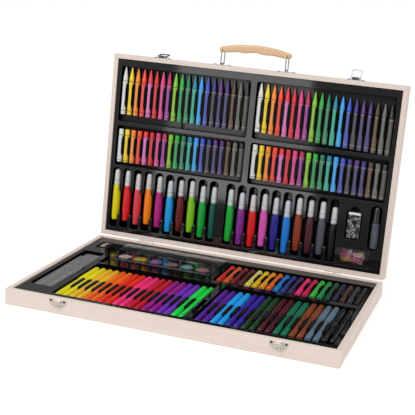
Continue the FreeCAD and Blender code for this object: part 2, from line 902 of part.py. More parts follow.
def paper_clip():
    """A flat paper clip of bent wire, centred on the origin."""
    r = clip_wire / 2
    outer = clip_width / 2 - r
    middle = outer - clip_wire * 0.72
    inner = middle - clip_wire * 0.62
    low, high = -clip_length / 2 + outer, clip_length / 2 - outer
    turn = high - outer  # where the inner loop turns

    def straight(x0, x1, y):
        return Part.LineSegment(Vector(x0, y, 0), Vector(x1, y, 0))

    def bow(x, y0, y1, side):
        reach = side * (y1 - y0) / 2
        return Part.Arc(Vector(x, y0, 0), Vector(x + reach, (y0 + y1) / 2, 0), Vector(x, y1, 0))

    lines = (
        straight(low + clip_length / 8, high, -outer),
        bow(high, -outer, middle, 1),
        straight(high, low, middle),
        bow(low, -inner, middle, -1),
        straight(low, turn, -inner),
        bow(turn, -inner, inner, 1),
        straight(turn, low + clip_length / 3, inner),
    )
    path = Part.Wire([line.toShape() for line in lines])
    ring = Part.Wire([Part.makeCircle(r, path.Vertexes[0].Point, Vector(1, 0, 0))])
    return path.makePipeShell([ring], True, True)


def paper_clips():
    """Clips in crossing layers, side by side in each layer."""
    x0, x1 = clip_span()
    y0, y1 = clip_recess
    z = flange - clip_depth + stick_rest + clip_wire / 2
    single = paper_clip()
    clips = []
    for layer, (lengthways, abreast, turn) in enumerate(clip_layers):
        for i in range(lengthways):
            for j in range(abreast):
                clip = single.copy()
                clip.rotate(Vector(0, 0, 0), Vector(0, 0, 1), 180 * ((i + j) % 2))
                dx = (i - (lengthways - 1) / 2) * (clip_length + clip_gap)
                dy = (j - (abreast - 1) / 2) * (clip_width + clip_gap)
                clip.translate(Vector(dx, dy, 0))
                clip.rotate(Vector(0, 0, 0), Vector(0, 0, 1), turn)
                level = z + layer * (clip_wire + stick_rest)
                clip.translate(Vector((x0 + x1) / 2, (y0 + y1) / 2, level))
                clips.append(clip)
    return clips


def clip_cover():
    """A clear sheet over the clips, let into the tray's flange."""
    x0, x1 = clip_span()
    y0, y1 = clip_recess
    g = clip_seat
    return slab(x0 - g, x1 + g, y0 - g, y1 + g, flange - clip_cover_thickness, flange, 3)


# ---------------------------------------------------------------- paint box
def paint_box_base():
    """The lower shell: round wells for the pans, a trough for the brush, two ears at the back."""
    x0, x1, y0, y1 = paint_plan()
    low, seam, _ = paint_levels()
    rim = seam - paint_gap
    body = slab(x0, x1, y0, y1, low, rim, paint_corner)
    wells = [
        Part.makeCylinder(pan_dia / 2 + pan_room, pan_depth + 1, Vector(x, y, rim - pan_depth))
        for x, y in pan_places()
    ]
    t0, t1 = trough_span()
    wells.append(slab(x0 + 4, x1 - 4, t0, t1, low + paint_wall, rim + 1, paint_corner))
    ears = [peg_ear(x) for x in ear_places()]
    return cut(fuse([cut(body, wells)] + ears), [peg_bore(x) for x in ear_places()])


def pan_places():
    x0, x1, y0, _ = paint_plan()
    pitch = pan_dia + pan_gap
    first = (x0 + x1 - (pan_count - 1) * pitch) / 2
    return [(first + i * pitch, y0 + pan_edge + pan_dia / 2) for i in range(pan_count)]


def trough_span():
    """The Y span of the brush's trough, behind the pans."""
    _, _, y0, y1 = paint_plan()
    return y0 + pan_edge + pan_dia + 3, y1 - 2 * paint_lid_height


def paint_pans():
    """Round cakes of paint, each with a hollowed top."""
    seam = paint_levels()[1]
    low = seam - paint_gap - pan_depth + stick_rest
    r = pan_dia / 2
    profile = ((0, r - 0.6), (0.6, r), (pan_depth - 1.0, r), (pan_depth - 0.6, r - 1.0))
    return [lathe(profile, Vector(x, y, low), Vector(0, 0, 1)) for x, y in pan_places()]


def paint_hinge_line():
    """The paint box lid's turning line, as (y, z): the middle of the lid's round back edge."""
    _, seam, top = paint_levels()
    return paint_plan()[3] - paint_lid_height / 2, (seam + top) / 2


def ear_places():
    x0, x1, _, _ = paint_plan()
    return (x0 + ear_edge, x1 - ear_edge)


def peg_ear(x):
    """A lug that stands on the back wall and carries the lid's pegs."""
    y, z = paint_hinge_line()
    r = paint_lid_height / 2
    w = ear_width / 2
    foot = box(x - w, x + w, y - r, y + r, paint_levels()[1] - paint_gap - 1, z)
    return foot.fuse(rod(Vector(x - w, y, z), Vector(x + w, y, z), r))


def peg_bore(x):
    y, z = paint_hinge_line()
    return rod(Vector(x - ear_width, y, z), Vector(x + ear_width, y, z), peg_dia / 2 + peg_fit)


def paint_box_lid():
    """The clear lid. Its back edge is a round bar, cut away at the ears, with pegs into them."""
    x0, x1, y0, y1 = paint_plan()
    _, seam, top = paint_levels()
    t = paint_wall
    y, z = paint_hinge_line()
    r = paint_lid_height / 2
    shell = slab(x0, x1, y0, y1, seam, top, paint_corner)
    shell = shell.cut(slab(x0 + t, x1 - t, y0 + t, y, seam - 1, top - t, paint_corner - t))
    behind = box(x0 - 1, x1 + 1, y, y1 + 1, seam - 1, top + 1)
    shell = shell.cut(behind.cut(rod(Vector(x0 - 1, y, z), Vector(x1 + 1, y, z), r)))
    notch = ear_width / 2 + ear_room
    gaps = [box(x - notch, x + notch, y - r - ear_room, y1 + 1, seam - 1, top + 1) for x in ear_places()]
    shell = cut(shell, gaps)
    pegs = [
        rod(Vector(x + s * stick_rest, y, z), Vector(x + s * (notch + 1), y, z), peg_dia / 2)
        for x in ear_places()
        for s in (-1, 1)
    ]
    return fuse([shell] + pegs)


def paint_brush():
    """A slim round brush in the trough behind the pans."""
    low = paint_levels()[0]
    t0, t1 = trough_span()
    r = brush_dia / 2
    ferrule = brush_length * 0.72
    hair = brush_length - brush_tip
    profile = (
        (0, r * 0.4),
        (2, r * 0.7),
        (ferrule - 2, r),
        (ferrule, r * 0.8),
        (hair, r * 0.86),
        (hair + brush_tip * 0.4, r * 0.95),
        (brush_length, r * 0.12),
    )
    start = Vector(paint_plan()[0] + 12, (t0 + t1) / 2, low + paint_wall + r + stick_rest)
    return lathe(profile, start, Vector(1, 0, 0))


# ---------------------------------------------------------------- slim box and sharpener
def slim_box_shape():
    """A flat frosted box whose back end is narrower."""
    x0, y0 = from_left(slim_box_left), slim_box_front
    w, d, h = slim_box_size
    low = flange - slim_box_depth + stick_rest
    step = slim_box_step
    main = slab(x0, x0 + w, y0, y0 + d - step, low, low + h, 2.5)
    neck = slab(x0 + 5, x0 + w, y0 + d - 2 * step, y0 + d, low, low + h, 2.5)
    return fuse([main, neck])


def sharpener_parts():
    """A wedge sharpener with a waist, a tapered bore and a window, and its blade."""
    x, y = sharpener_middle()
    w, d, h = sharpener_size
    top = flange - stick_drop - blade_size[2]
    body = slab(x - w / 2, x + w / 2, y - d / 2, y + d / 2, top - h, top, 2.0)
    waist_radius = 6.5
    waist_x = w / 2 + waist_radius - 1.5
    waist = [
        Part.makeCylinder(waist_radius, h + 2, Vector(x + s * waist_x, y, top - h - 1)) for s in (-1, 1)
    ]
    mouth = Vector(x, y - d / 2 - 1.0, top - h * 0.54)
    bore = Part.makeCone(sharpener_bore / 2, 0.6, d * 0.92, mouth, Vector(0, 1, 0.12))
    window = box(x - 0.8, x + 3.4, y - d * 0.36, y + d * 0.34, top - h * 0.45, top + 1)
    screw_x = x - 1.6
    thread = rod(Vector(screw_x, y, top - h / 2), Vector(screw_x, y, top + 2), 1.3)
    bw, bd, bt = blade_size
    blade_x = x - 0.4
    blade = box(blade_x - bw / 2, blade_x + bw / 2, y - bd / 2, y + bd / 2, top, top + bt)
    return cut(body, waist + [bore, window, thread]), blade.cut(thread)


# ---------------------------------------------------------------- catches
def catch_shape(x, screws):
    """A half-round plate on the base's front, with a round pressed hook. Its seat is Y = 0."""
    top = -catch_top
    r = catch_width / 2
    side = top - catch_height * 0.28
    corners = [Vector(x - r, 0, side), Vector(x - r, 0, top), Vector(x + r, 0, top), Vector(x + r, 0, side)]
    edges = [Part.makeLine(a, b) for a, b in zip(corners, corners[1:])]
    edges.append(Part.Arc(corners[3], Vector(x, 0, top - catch_height), corners[0]).toShape())
    flat = Part.Face(Part.Wire(edges)).extrude(Vector(0, -plate, 0))
    return cut(fuse([flat, catch_hook(x)]), screws)


def catch_hook(x):
    """A round boss with a slot across it: the claw's bar goes in at the mouth, under the lip."""
    lip_under = claw_peg_height + claw_thickness / 2 + claw_clear
    bar_under = claw_peg_height - claw_thickness / 2 - claw_clear
    middle = Vector(x, -plate, -catch_top - hook_drop)
    boss = Part.makeCylinder(hook_radius, lip_under + hook_lip - plate, middle, Vector(0, -1, 0))
    rim = [e for e in boss.Edges if e.BoundBox.YMax < -plate - 1]
    boss = boss.makeFillet(hook_lip * 0.8, rim)
    near = -claw_reach + claw_clear
    mouth_near = near - hook_cover
    far = mouth_near - hook_mouth
    w = hook_radius + 1
    under_lip = box(x - w, x + w, -lip_under, -bar_under, far, near)
    mouth = box(x - w, x + w, -lip_under - hook_lip - 1, -bar_under, far, mouth_near)
    return cut(boss, [under_lip, mouth])


def catch_screws():
    z = -catch_top - catch_screw_drop
    return [
        screw(Vector(side * latch_x + step * catch_screw_x, -plate, z), Vector(0, -1, 0))
        for side in (-1, 1)
        for step in (-1, 1)
    ]


# ---------------------------------------------------------------- latches, on the lid's front
def latch_screws():
    z = -latch_edge - latch_length / 2
    return [
        screw(Vector(side * latch_x + step * latch_screw_x, case_depth + plate, z), Vector(0, 1, 0))
        for side in (-1, 1)
        for step in (-1, 1)
    ]


def lever_pin_place(x):
    return Vector(x, case_depth + lever_pin_height, -lever_pin_back)


def claw_peg_place(x):
    return Vector(x, case_depth + claw_peg_height, -claw_peg_back)


def latch_plate(x, screws):
    face = case_depth
    z0, z1 = -latch_edge - latch_length, -latch_edge
    w = latch_width / 2
    flat = Part.makeBox(2 * w, plate, z1 - z0, Vector(x - w, face, z0))
    upright = [e for e in flat.Edges if abs(e.tangentAt(e.FirstParameter).y) > 0.9]
    flat = flat.makeFillet(4.0, upright)
    pin = lever_pin_place(x)
    pieces = [flat]
    inner = lever_width / 2 + ear_gap
    for s in (-1, 1):
        a, b = sorted((x + s * inner, x + s * (inner + ear)))
        pieces.append(box(a, b, face, pin.y, pin.z - ear_radius, pin.z + ear_radius))
        pieces.append(rod(Vector(a, pin.y, pin.z), Vector(b, pin.y, pin.z), ear_radius))
    hole = rod(pin - Vector(latch_width, 0, 0), pin + Vector(latch_width, 0, 0), lever_pin_radius)
    return cut(fuse(pieces), [hole] + screws)


def latch_pin(x):
    pin = lever_pin_place(x)
    reach = Vector(lever_width / 2 + ear_gap + ear, 0, 0)
    return rod(pin - reach, pin + reach, lever_pin_radius)


def latch_lever(x):
    """The block that is pressed down to draw the claw tight."""
    pin = lever_pin_place(x)
    peg = claw_peg_place(x)
    w = lever_width / 2
    low = case_depth + plate + ear_gap
    high = low + lever_thickness
    far = pin.z - lever_length
    block = box(x - w, x + w, low, high, far, pin.z)
    nose = rod(Vector(x - w, pin.y, pin.z), Vector(x + w, pin.y, pin.z), pin.y - low)
    lip = [e for e in block.Edges if e.BoundBox.ZMax < far + 1e-3 and e.BoundBox.YMin > high - 1e-3]
    block = block.makeFillet(1.2, lip)
    body = fuse([block, nose])
    grooves = [
        rod(Vector(x - w - 1, high + 0.5, far + s), Vector(x + w + 1, high + 0.5, far + s), 0.8)
        for s in (2.4, 4.2)
    ]
    run = Vector(latch_width, 0, 0)
    bore = rod(pin - run, pin + run, lever_pin_radius + lever_pin_fit)
    deep = w - claw_peg_depth - claw_clear
    peg_bores = [
        rod(peg + Vector(s * deep, 0, 0), peg + Vector(s * (w + 1), 0, 0), claw_peg_radius + claw_peg_fit)
        for s in (-1, 1)
    ]
    return cut(body, grooves + [bore] + peg_bores)


def claw_length():
    """From the claw's pegs to the far side of its end bar, which lies in the shut catch's hook."""
    return claw_peg_back + rim_gap + claw_reach + claw_bar


def latch_claw(x, angle):
    """The claw: a frame that drops over the catch's hook, turned back from there by angle."""
    peg = claw_peg_place(x)
    w = claw_inner / 2
    t = claw_thickness / 2
    length = claw_length()
    pieces = []
    for s in (-1, 1):
        a, b = sorted((x + s * w, x + s * (w + claw_leg)))
        pieces.append(box(a, b, peg.y - t, peg.y + t, peg.z, peg.z + length))
        pieces.append(rod(Vector(a, peg.y, peg.z), Vector(b, peg.y, peg.z), ear_radius))
        p = peg + Vector(s * (lever_width / 2 - claw_peg_depth), 0, 0)
        q = peg + Vector(s * w, 0, 0)
        pieces.append(rod(p, q, claw_peg_radius))
    bar = box(x - w, x + w, peg.y - t, peg.y + t, peg.z + length - claw_bar, peg.z + length)
    claw = fuse(pieces + [bar])
    claw.rotate(peg, Vector(-1, 0, 0), angle)
    return claw


# ---------------------------------------------------------------- handle, on the lid's front
def handle_level():
    """The middle of the lid's front board, in the half frame."""
    return -lid_height / 2


def link_x(side):
    """The X of the left (-1) or right (1) link."""
    return handle_shift + side * handle_x


def bracket_screws():
    level = handle_level()
    return [
        screw(Vector(link_x(side) + step * bracket_screw_x, case_depth + plate, level), Vector(0, 1, 0))
        for side in (-1, 1)
        for step in (-1, 1)
    ]


def handle_bracket(x, screws):
    """A strap with a tunnel across its middle for the link's lower bar."""
    face = case_depth
    w = bracket_width / 2
    z = handle_level()
    inner = link_wire / 2 + bracket_fit
    outer = inner + plate
    bar = Vector(x, face + bar_height, z)
    flat = Part.makeBox(bracket_length, plate, bracket_width, Vector(x - bracket_length / 2, face, z - w))
    ends = [e for e in flat.Edges if abs(e.tangentAt(e.FirstParameter).y) > 0.9]
    flat = flat.makeFillet(w * 0.7, ends)
    low, high = Vector(0, 0, -w), Vector(0, 0, w)
    hump = box(x - outer, x + outer, face, bar.y, z - w, z + w).fuse(rod(bar + low, bar + high, outer))
    room = box(x - inner, x + inner, face - 1, bar.y, z - w - 1, z + w + 1)
    tunnel = rod(bar + low * 2, bar + high * 2, inner)
    strap = flat.fuse(hump).cut(room).cut(tunnel)
    return cut(strap.removeSplitter(), screws)


def handle_link(x):
    """A closed rectangle of wire through the bracket and the grip."""
    z = handle_level()
    w = link_width / 2
    low = case_depth + bar_height
    high = low + link_height
    c = link_corner
    k = c * (1 - math.sqrt(0.5))

    def corner(a, mid, b):
        return Part.Arc(Vector(x, *a), Vector(x, *mid), Vector(x, *b)).toShape()

    def run(a, b):
        return Part.LineSegment(Vector(x, *a), Vector(x, *b)).toShape()

    lo, hi = z - w, z + w
    path = Part.Wire(
        [
            run((low, z), (low, hi - c)),
            corner((low, hi - c), (low + k, hi - k), (low + c, hi)),
            run((low + c, hi), (high - c, hi)),
            corner((high - c, hi), (high - k, hi - k), (high, hi - c)),
            run((high, hi - c), (high, lo + c)),
            corner((high, lo + c), (high - k, lo + k), (high - c, lo)),
            run((high - c, lo), (low + c, lo)),
            corner((low + c, lo), (low + k, lo + k), (low, lo + c)),
            run((low, lo + c), (low, z)),
        ]
    )
    ring = Part.Wire([Part.makeCircle(link_wire / 2, Vector(x, low, z), Vector(0, 0, 1))])
    return path.makePipeShell([ring], True, True)


def grip_outline(points, side):
    """The grip's edge on one side of the middle, from the end in: spline points in order."""
    reach = handle_x
    level = case_depth + bar_height + link_height
    return [Vector(handle_shift + side * share * reach, level + h, 0) for share, h in points]


def handle_grip():
    """The arched wooden grip, with a keyhole at each end for the link's upper bar."""
    level = case_depth + bar_height + link_height
    top = grip_outline(grip_top, -1) + grip_outline(grip_top, 1)[::-1][1:]
    under = grip_outline(grip_under, 1) + grip_outline(grip_under, -1)[::-1][1:]
    tip = handle_x + grip_over
    middle = handle_shift
    top_curve = Part.BSplineCurve()
    top_curve.interpolate(top)
    under_curve = Part.BSplineCurve()
    under_curve.interpolate(under)
    right = Part.Arc(top[-1], Vector(middle + tip, level + 1.0, 0), under[0])
    left = Part.Arc(under[-1], Vector(middle - tip, level + 1.0, 0), top[0])
    outline = Part.Wire([c.toShape() for c in (top_curve, right, under_curve, left)])
    z = handle_level()
    grip = Part.Face(outline).extrude(Vector(0, 0, grip_depth))
    grip = grip.makeFillet(grip_round, [e for e in grip.Edges if abs(e.BoundBox.ZLength) < 1e-3])
    grip.translate(Vector(0, 0, z - grip_depth / 2))
    hole = link_wire / 2 + grip_fit
    run = Vector(0, 0, grip_depth)
    below = grip_top[0][1] - grip_under[0][1]
    cuts = []
    for s in (-1, 1):
        x = link_x(s)
        bar = Vector(x, level, z)
        cuts.append(rod(bar - run, bar + run, hole))
        cuts.append(
            box(x - grip_slot / 2, x + grip_slot / 2, level - below, level, z - grip_depth, z + grip_depth)
        )
    return cut(grip, cuts)


# ---------------------------------------------------------------- assembly
def build():
    parts = {}

    base_hinge_screws = hinge_screws(False)
    lid_hinge_screws = hinge_screws(True)
    catch_fasteners = catch_screws()
    latch_fasteners = latch_screws()
    bracket_fasteners = bracket_screws()

    base = boards(base_height, False)
    base["back"] = cut(base["back"], base_hinge_screws)
    base["front"] = cut(base["front"], catch_fasteners)
    lid = boards(lid_height, True)
    lid["back"] = cut(lid["back"], lid_hinge_screws)
    lid["front"] = cut(lid["front"], latch_fasteners + bracket_fasteners)
    for side in ("front", "back", "left", "right"):
        parts[f"base_{side}_board"] = in_base(base[side])
        parts[f"lid_{side}_board"] = in_lid(lid[side])
    parts["base_bottom_panel"] = in_base(base["panel"])
    parts["lid_panel"] = in_lid(lid["panel"])
    parts["base_tray"] = in_base(base_tray())
    parts["lid_tray"] = in_lid(lid_tray())

    for name, side in (("left", -1), ("right", 1)):
        x = side * hinge_x
        parts[f"hinge_{name}_base_leaf"] = in_base(hinge_leaf(x, False, (0, 2), base_hinge_screws))
        parts[f"hinge_{name}_lid_leaf"] = in_lid(hinge_leaf(x, True, (1,), lid_hinge_screws))
        parts[f"hinge_{name}_pin"] = in_base(hinge_pin(x))
    parts["hinge_screws_base"] = in_base(Part.makeCompound(base_hinge_screws))
    parts["hinge_screws_lid"] = in_lid(Part.makeCompound(lid_hinge_screws))

    for name, side, angle in (("left", -1, claw_angles[0]), ("right", 1, claw_angles[1])):
        x = side * latch_x
        parts[f"catch_{name}"] = in_base(catch_shape(x, catch_fasteners))
        parts[f"latch_{name}_plate"] = in_lid(latch_plate(x, latch_fasteners))
        parts[f"latch_{name}_pin"] = in_lid(latch_pin(x))
        parts[f"latch_{name}_lever"] = in_lid(latch_lever(x))
        parts[f"latch_{name}_claw"] = in_lid(latch_claw(x, angle))
        parts[f"handle_bracket_{name}"] = in_lid(handle_bracket(link_x(side), bracket_fasteners))
        parts[f"handle_link_{name}"] = in_lid(handle_link(link_x(side)))
    parts["catch_screws"] = in_base(Part.makeCompound(catch_fasteners))
    parts["latch_screws"] = in_lid(Part.makeCompound(latch_fasteners))
    parts["handle_screws"] = in_lid(Part.makeCompound(bracket_fasteners))
    parts["handle_grip"] = in_lid(handle_grip())

    for name, row in lid_rows().items():
        make = crayon if name.startswith("upper") else stub
        parts[f"crayons_{name}"] = in_lid(Part.makeCompound(row.sticks(make)))
    starts = marker_starts()
    parts["marker_barrels"] = in_lid(Part.makeCompound([marker_barrel(p) for p in starts]))
    parts["marker_caps"] = in_lid(Part.makeCompound([marker_cap(p) for p in starts]))
    left_pens, right_pens = pen_rows()
    for name, make in (("pen_barrels", pen_barrel), ("pen_caps", pen_cap)):
        pens = left_pens.sticks(make) + right_pens.sticks(make)
        parts[name] = in_base(Part.makeCompound(pens))
    parts["slim_crayons"] = in_base(Part.makeCompound(slim_row().sticks(slim_crayon)))

    eraser, sleeve = eraser_parts()
    parts["eraser"] = in_lid(eraser)
    parts["eraser_sleeve"] = in_lid(sleeve)
    glue_body, glue_cap = glue_parts()
    parts["glue_pen_body"] = in_lid(glue_body)
    parts["glue_pen_cap"] = in_lid(glue_cap)
    parts["paper_clips"] = in_lid(Part.makeCompound(paper_clips()))
    parts["clip_cover"] = in_lid(clip_cover())

    parts["paint_box_base"] = in_base(paint_box_base())
    parts["paint_box_lid"] = in_base(paint_box_lid())
    parts["paint_pans"] = in_base(Part.makeCompound(paint_pans()))
    parts["paint_brush"] = in_base(paint_brush())
    parts["slim_box"] = in_base(slim_box_shape())
    body, blade = sharpener_parts()
    parts["sharpener_body"] = in_base(body)
    parts["sharpener_blade"] = in_base(blade)
    return parts


def main():
    os.makedirs("parts", exist_ok=True)
    for name, shape in build().items():
        shape.exportStep(os.path.join("parts", name + ".step"))
        low, high = shape.BoundBox.ZMin, shape.BoundBox.ZMax
        print(f"{name}: {len(shape.Solids)} solids, {shape.Volume:.0f} mm3, z {low:.1f} to {high:.1f}")


main()
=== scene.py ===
import math

import bmesh
import bpy
from mathutils import Matrix, Vector


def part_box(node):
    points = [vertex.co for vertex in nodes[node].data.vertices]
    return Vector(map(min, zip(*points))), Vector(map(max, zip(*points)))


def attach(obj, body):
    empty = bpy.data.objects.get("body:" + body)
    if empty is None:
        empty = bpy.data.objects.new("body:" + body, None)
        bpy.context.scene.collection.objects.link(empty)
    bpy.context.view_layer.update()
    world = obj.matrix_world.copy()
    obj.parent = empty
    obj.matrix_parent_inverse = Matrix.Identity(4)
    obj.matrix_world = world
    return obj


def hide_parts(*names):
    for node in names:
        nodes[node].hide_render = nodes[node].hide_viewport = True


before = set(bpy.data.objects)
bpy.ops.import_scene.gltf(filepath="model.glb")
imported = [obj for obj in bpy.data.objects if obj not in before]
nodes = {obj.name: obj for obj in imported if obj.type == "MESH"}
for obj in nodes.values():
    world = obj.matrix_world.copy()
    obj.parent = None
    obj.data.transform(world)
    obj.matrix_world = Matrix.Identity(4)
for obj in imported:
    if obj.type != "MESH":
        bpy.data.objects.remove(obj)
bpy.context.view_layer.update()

# The base and the open lid each have a half frame of their own, in millimetres: the rim is z = 0
# and the inside lies below it. y runs from the case's front in the base, and from the hinge in
# the lid.
MM = 0.001
HALF_DEPTH = 165 * MM  # half the case's depth
BASE_HEIGHT = 26 * MM
LEAN = math.radians(84.3)  # how far the lid is turned up from lying flat
PIN_OFFSET = 1.7 * MM  # from the case's back edge to the hinges' axis
HALF_GAP = 0.25 * MM  # from a rim to the hinges' axis
BASE = Matrix.Translation((0, -HALF_DEPTH, BASE_HEIGHT))
LID = (
    Matrix.Translation((0, HALF_DEPTH + PIN_OFFSET, BASE_HEIGHT + HALF_GAP))
    @ Matrix.Rotation(LEAN, 4, "X")
    @ Matrix.Translation((0, PIN_OFFSET, -HALF_GAP))
)
FLANGE = -2.0  # the trays' flange below the rim
REST = 0.4  # a stick's top below the flange

# the rows, in mm in their half's frame: the middle of the first stick and the distance to the next
CRAYON_STARTS = (-242.325, 12.425)
CRAYON_PITCH = 12.1
MARKER_STARTS = (-243.45, -22.95)
MARKER_PITCH = 21.0
PEN_STARTS = (-191.375, 38.375)
PEN_PITCH = 12.0
SLIM_START = 9.15
SLIM_PITCH = 12.3
PAN_START = (-178.5, 251.0, -10.9)  # the middle of the first pan's underside
PAN_PITCH = 29.0


# ---------------------------------------------------------------- colours
def linear(text):
    """A colour written as six hexadecimal digits, in linear light."""
    parts = [int(text[i : i + 2], 16) / 255 for i in (0, 2, 4)]
    return tuple(p / 12.92 if p <= 0.04045 else ((p + 0.055) / 1.055) ** 2.4 for p in parts) + (1.0,)


def blend(first, second, share):
    """A colour between two written ones."""
    pairs = [(int(first[i : i + 2], 16), int(second[i : i + 2], 16)) for i in (0, 2, 4)]
    return "".join(f"{round(a + (b - a) * share):02x}" for a, b in pairs)


INK = "1c1a1a"
GOLD = "b9a583"
# wrapper, wax, ring
CRAYONS = [
    ("ecebe6", "f0efe6", INK),
    ("ffd91e", "ffe21e", INK),
    ("ff9a30", "ff9426", INK),
    ("f4483a", "ff4a20", INK),
    ("e27cc4", "f62c34", INK),
    ("dc2f3c", "d8202c", INK),
    ("dc4a94", "e23a86", GOLD),
    ("a3419c", "c01e58", GOLD),
    ("93c83c", "86d21e", INK),
    ("2fa25a", "1eb23c", GOLD),
    ("3c8f68", "0c7a58", GOLD),
    ("33b598", "1a82a6", GOLD),
    ("3cabf0", "2ea6f6", GOLD),
    ("4457b4", "2a52c8", GOLD),
    ("47464f", "26287c", GOLD),
    ("4c4374", "5a267c", GOLD),
    ("4a4278", "3a2474", GOLD),
    ("6a5038", "4e3424", GOLD),
    ("6a6e66", "63685e", GOLD),
    ("58554c", "1f1f1d", GOLD),
]
MARKERS_LEFT = [
    "e6da0c", "e4202a", "de404c", "fb860c", "b81a80",
    "1ca0ea", "6a1618", "84c820", "0ca63c", "0a5548",
]
MARKERS_RIGHT = [
    "18b03c", "842892", "dc1a1a", "e05cbc", "2a2590",
    "1f80e0", "903820", "4a1e24", "54555e", "121214",
]
PENS_LEFT = ["f0e60a", "f6c224", "fb6c16", "f02a18", "fa3282", "c8142e", "9c1890", "7430c0", "16e04e"]
PENS_RIGHT = ["562096", "20a6f6", "3224a0", "164020", "4c121c", "047050", "86401e", "5f7688", "101012"]
SLIM = [
    "cc2c20", "e0602c", "761c1c", "561e1c", "e4dc74", "f2c60c", "eca024", "ee6a20", "1e80d6", "1e3c88",
    "3a245e", "f62c78", "cc1c50", "3cba3e", "129448", "0e4a36", "1a1e3c", "4a2c20", "34353a", "121214",
]
PAINTS = ["f0efe8", "e8cc28", "9a86bc", "b08a8c", "86b4d2", "e08a98"]
CLIPS = ["d8203a", "e8709c", "f2f0ec", "e0b020", "b81c44", "e03a78", "f4f2ee", "d0582a"]


# ---------------------------------------------------------------- materials
class Shade:
    """A node material as it is built."""

    def __init__(self, name, **values):
        self.material = bpy.data.materials.new(name)
        self.material.use_nodes = True
        self.tree = self.material.node_tree
        self.surface = self.tree.nodes["Principled BSDF"]
        for key, value in values.items():
            self.put(key.replace("_", " "), value)

    def put(self, socket, value):
        """Sets or links an input of the surface."""
        self._fill(self.surface.inputs[socket], value)

    def _fill(self, socket, value):
        if isinstance(value, bpy.types.NodeSocket):
            self.tree.links.new(value, socket)
        else:
            socket.default_value = value

    def add(self, kind, settings=None, **sockets):
        """A new node with its properties and its inputs, whose names have _ for a space."""
        node = self.tree.nodes.new("ShaderNode" + kind)
        for key, value in (settings or {}).items():
            setattr(node, key, value)
        for key, value in sockets.items():
            self._fill(node.inputs[key.replace("_", " ")], value)
        return node

    def place(self, stretch=(1, 1, 1), lid=False):
        """Where a point is on the part, in metres, turned into the lid's own frame if asked."""
        turn = (-LEAN if lid else 0, 0, 0)
        source = self.add("TexCoord").outputs["Object"]
        turned = self.add("Mapping", Vector=source, Rotation=turn)
        return self.add("Mapping", Vector=turned.outputs[0], Scale=stretch).outputs[0]

    def cloud(self, place, scale, detail=3.0, rough=0.5, warp=0.0):
        """Noise around 0.5."""
        settings = {"Scale": scale, "Detail": detail, "Roughness": rough, "Distortion": warp}
        return self.add("TexNoise", Vector=place, **settings).outputs["Fac"]

    def ramp(self, value, stops):
        """A smooth map from one number to another, or to a colour."""
        node = self.add("ValToRGB", Fac=value)
        row = node.color_ramp.elements
        while len(row) < len(stops):
            row.new(0.5)
        for element, (where, colour) in zip(row, stops):
            element.position = where
            element.color = colour if isinstance(colour, tuple) else (colour,) * 3 + (1,)
        return node.outputs[0]

    def mix(self, share, first, second, blend="MIX"):
        """A colour between two others; the Mix node's colour sockets are 6 and 7, its result is 2."""
        node = self.add("Mix", {"data_type": "RGBA", "blend_type": blend})
        self._fill(node.inputs[0], share)
        self._fill(node.inputs[6], first)
        self._fill(node.inputs[7], second)
        return node.outputs[2]

    def maths(self, operation, first, second):
        node = self.add("Math", {"operation": operation})
        self._fill(node.inputs[0], first)
        self._fill(node.inputs[1], second)
        return node.outputs[0]

    def relief(self, height, strength, distance, edge=None):
        """The surface's small relief, and its edges rounded by edge metres."""
        node = self.add("Bump", Height=height, Strength=strength, Distance=distance)
        if edge:
            rounded = self.add("Bevel", {"samples": 4}, Radius=edge)
            self.tree.links.new(rounded.outputs[0], node.inputs["Normal"])
        self.put("Normal", node.outputs[0])


def wood(name, light, dark, grain, lid=False, gloss=0.5, contrast=0.45):
    """Pale wood with fine straight grain along one axis."""
    s = Shade(name)
    along = "XYZ".index(grain)
    broad = s.place([3 if i == along else 46 for i in range(3)], lid)
    thin = s.place([9 if i == along else 420 for i in range(3)], lid)
    streaks = s.cloud(broad, 1.0, 5.0, 0.62, 0.6)
    pores = s.cloud(thin, 1.0, 4.0, 0.7, 0.2)
    blush = s.cloud(s.place(lid=lid), 7.0, 2.0)
    colour = s.mix(s.ramp(streaks, [(0.3, 0.0), (0.75, contrast)]), linear(light), linear(dark))
    lines = s.ramp(pores, [(0.36, 0.9), (0.52, 1.0)])
    colour = s.mix(0.55, colour, lines, "MULTIPLY")
    colour = s.mix(s.ramp(blush, [(0.35, 0.0), (0.7, 0.18)]), colour, linear("f0d6c6"))
    s.put("Base Color", colour)
    s.put("Roughness", s.ramp(pores, [(0.3, gloss + 0.12), (0.7, gloss - 0.06)]))
    s.surface.inputs["Specular IOR Level"].default_value = 0.35
    s.relief(s.maths("ADD", pores, streaks), 0.12, 0.0004, 0.0005)
    return s.material


def moulded(name, colour, gloss=0.045, edge=0.0009, level=0.5, haze=0.1, painted_shade_reach=0.0):
    """Moulded plastic of one colour, a little uneven as a drawn sheet is; when a reach is given, its
    reflection fades in corners and recesses by ambient occlusion, a painted shade.
    """
    s = Shade(name)
    wave = s.cloud(s.place(), 38.0, 2.0)
    dust = s.cloud(s.place(), 900.0, 3.0, 0.7)
    s.put("Base Color", s.mix(s.ramp(dust, [(0.6, 0.0), (0.85, haze)]), linear(colour), linear("3a3b3c")))
    s.put("Roughness", s.ramp(dust, [(0.3, gloss), (0.75, gloss + 0.03)]))
    s.surface.inputs["Specular IOR Level"].default_value = level
    # painted shade: the gloss is taken out where walls hem the surface in
    if painted_shade_reach:
        painted_shade_ao = s.add("AmbientOcclusion", {"samples": 6}, Distance=painted_shade_reach).outputs["AO"]
        s.put("Specular IOR Level", s.ramp(painted_shade_ao, [(0.42, 0.0), (0.8, level)]))
    s.relief(wave, 0.004, 0.002, edge)
    return s.material


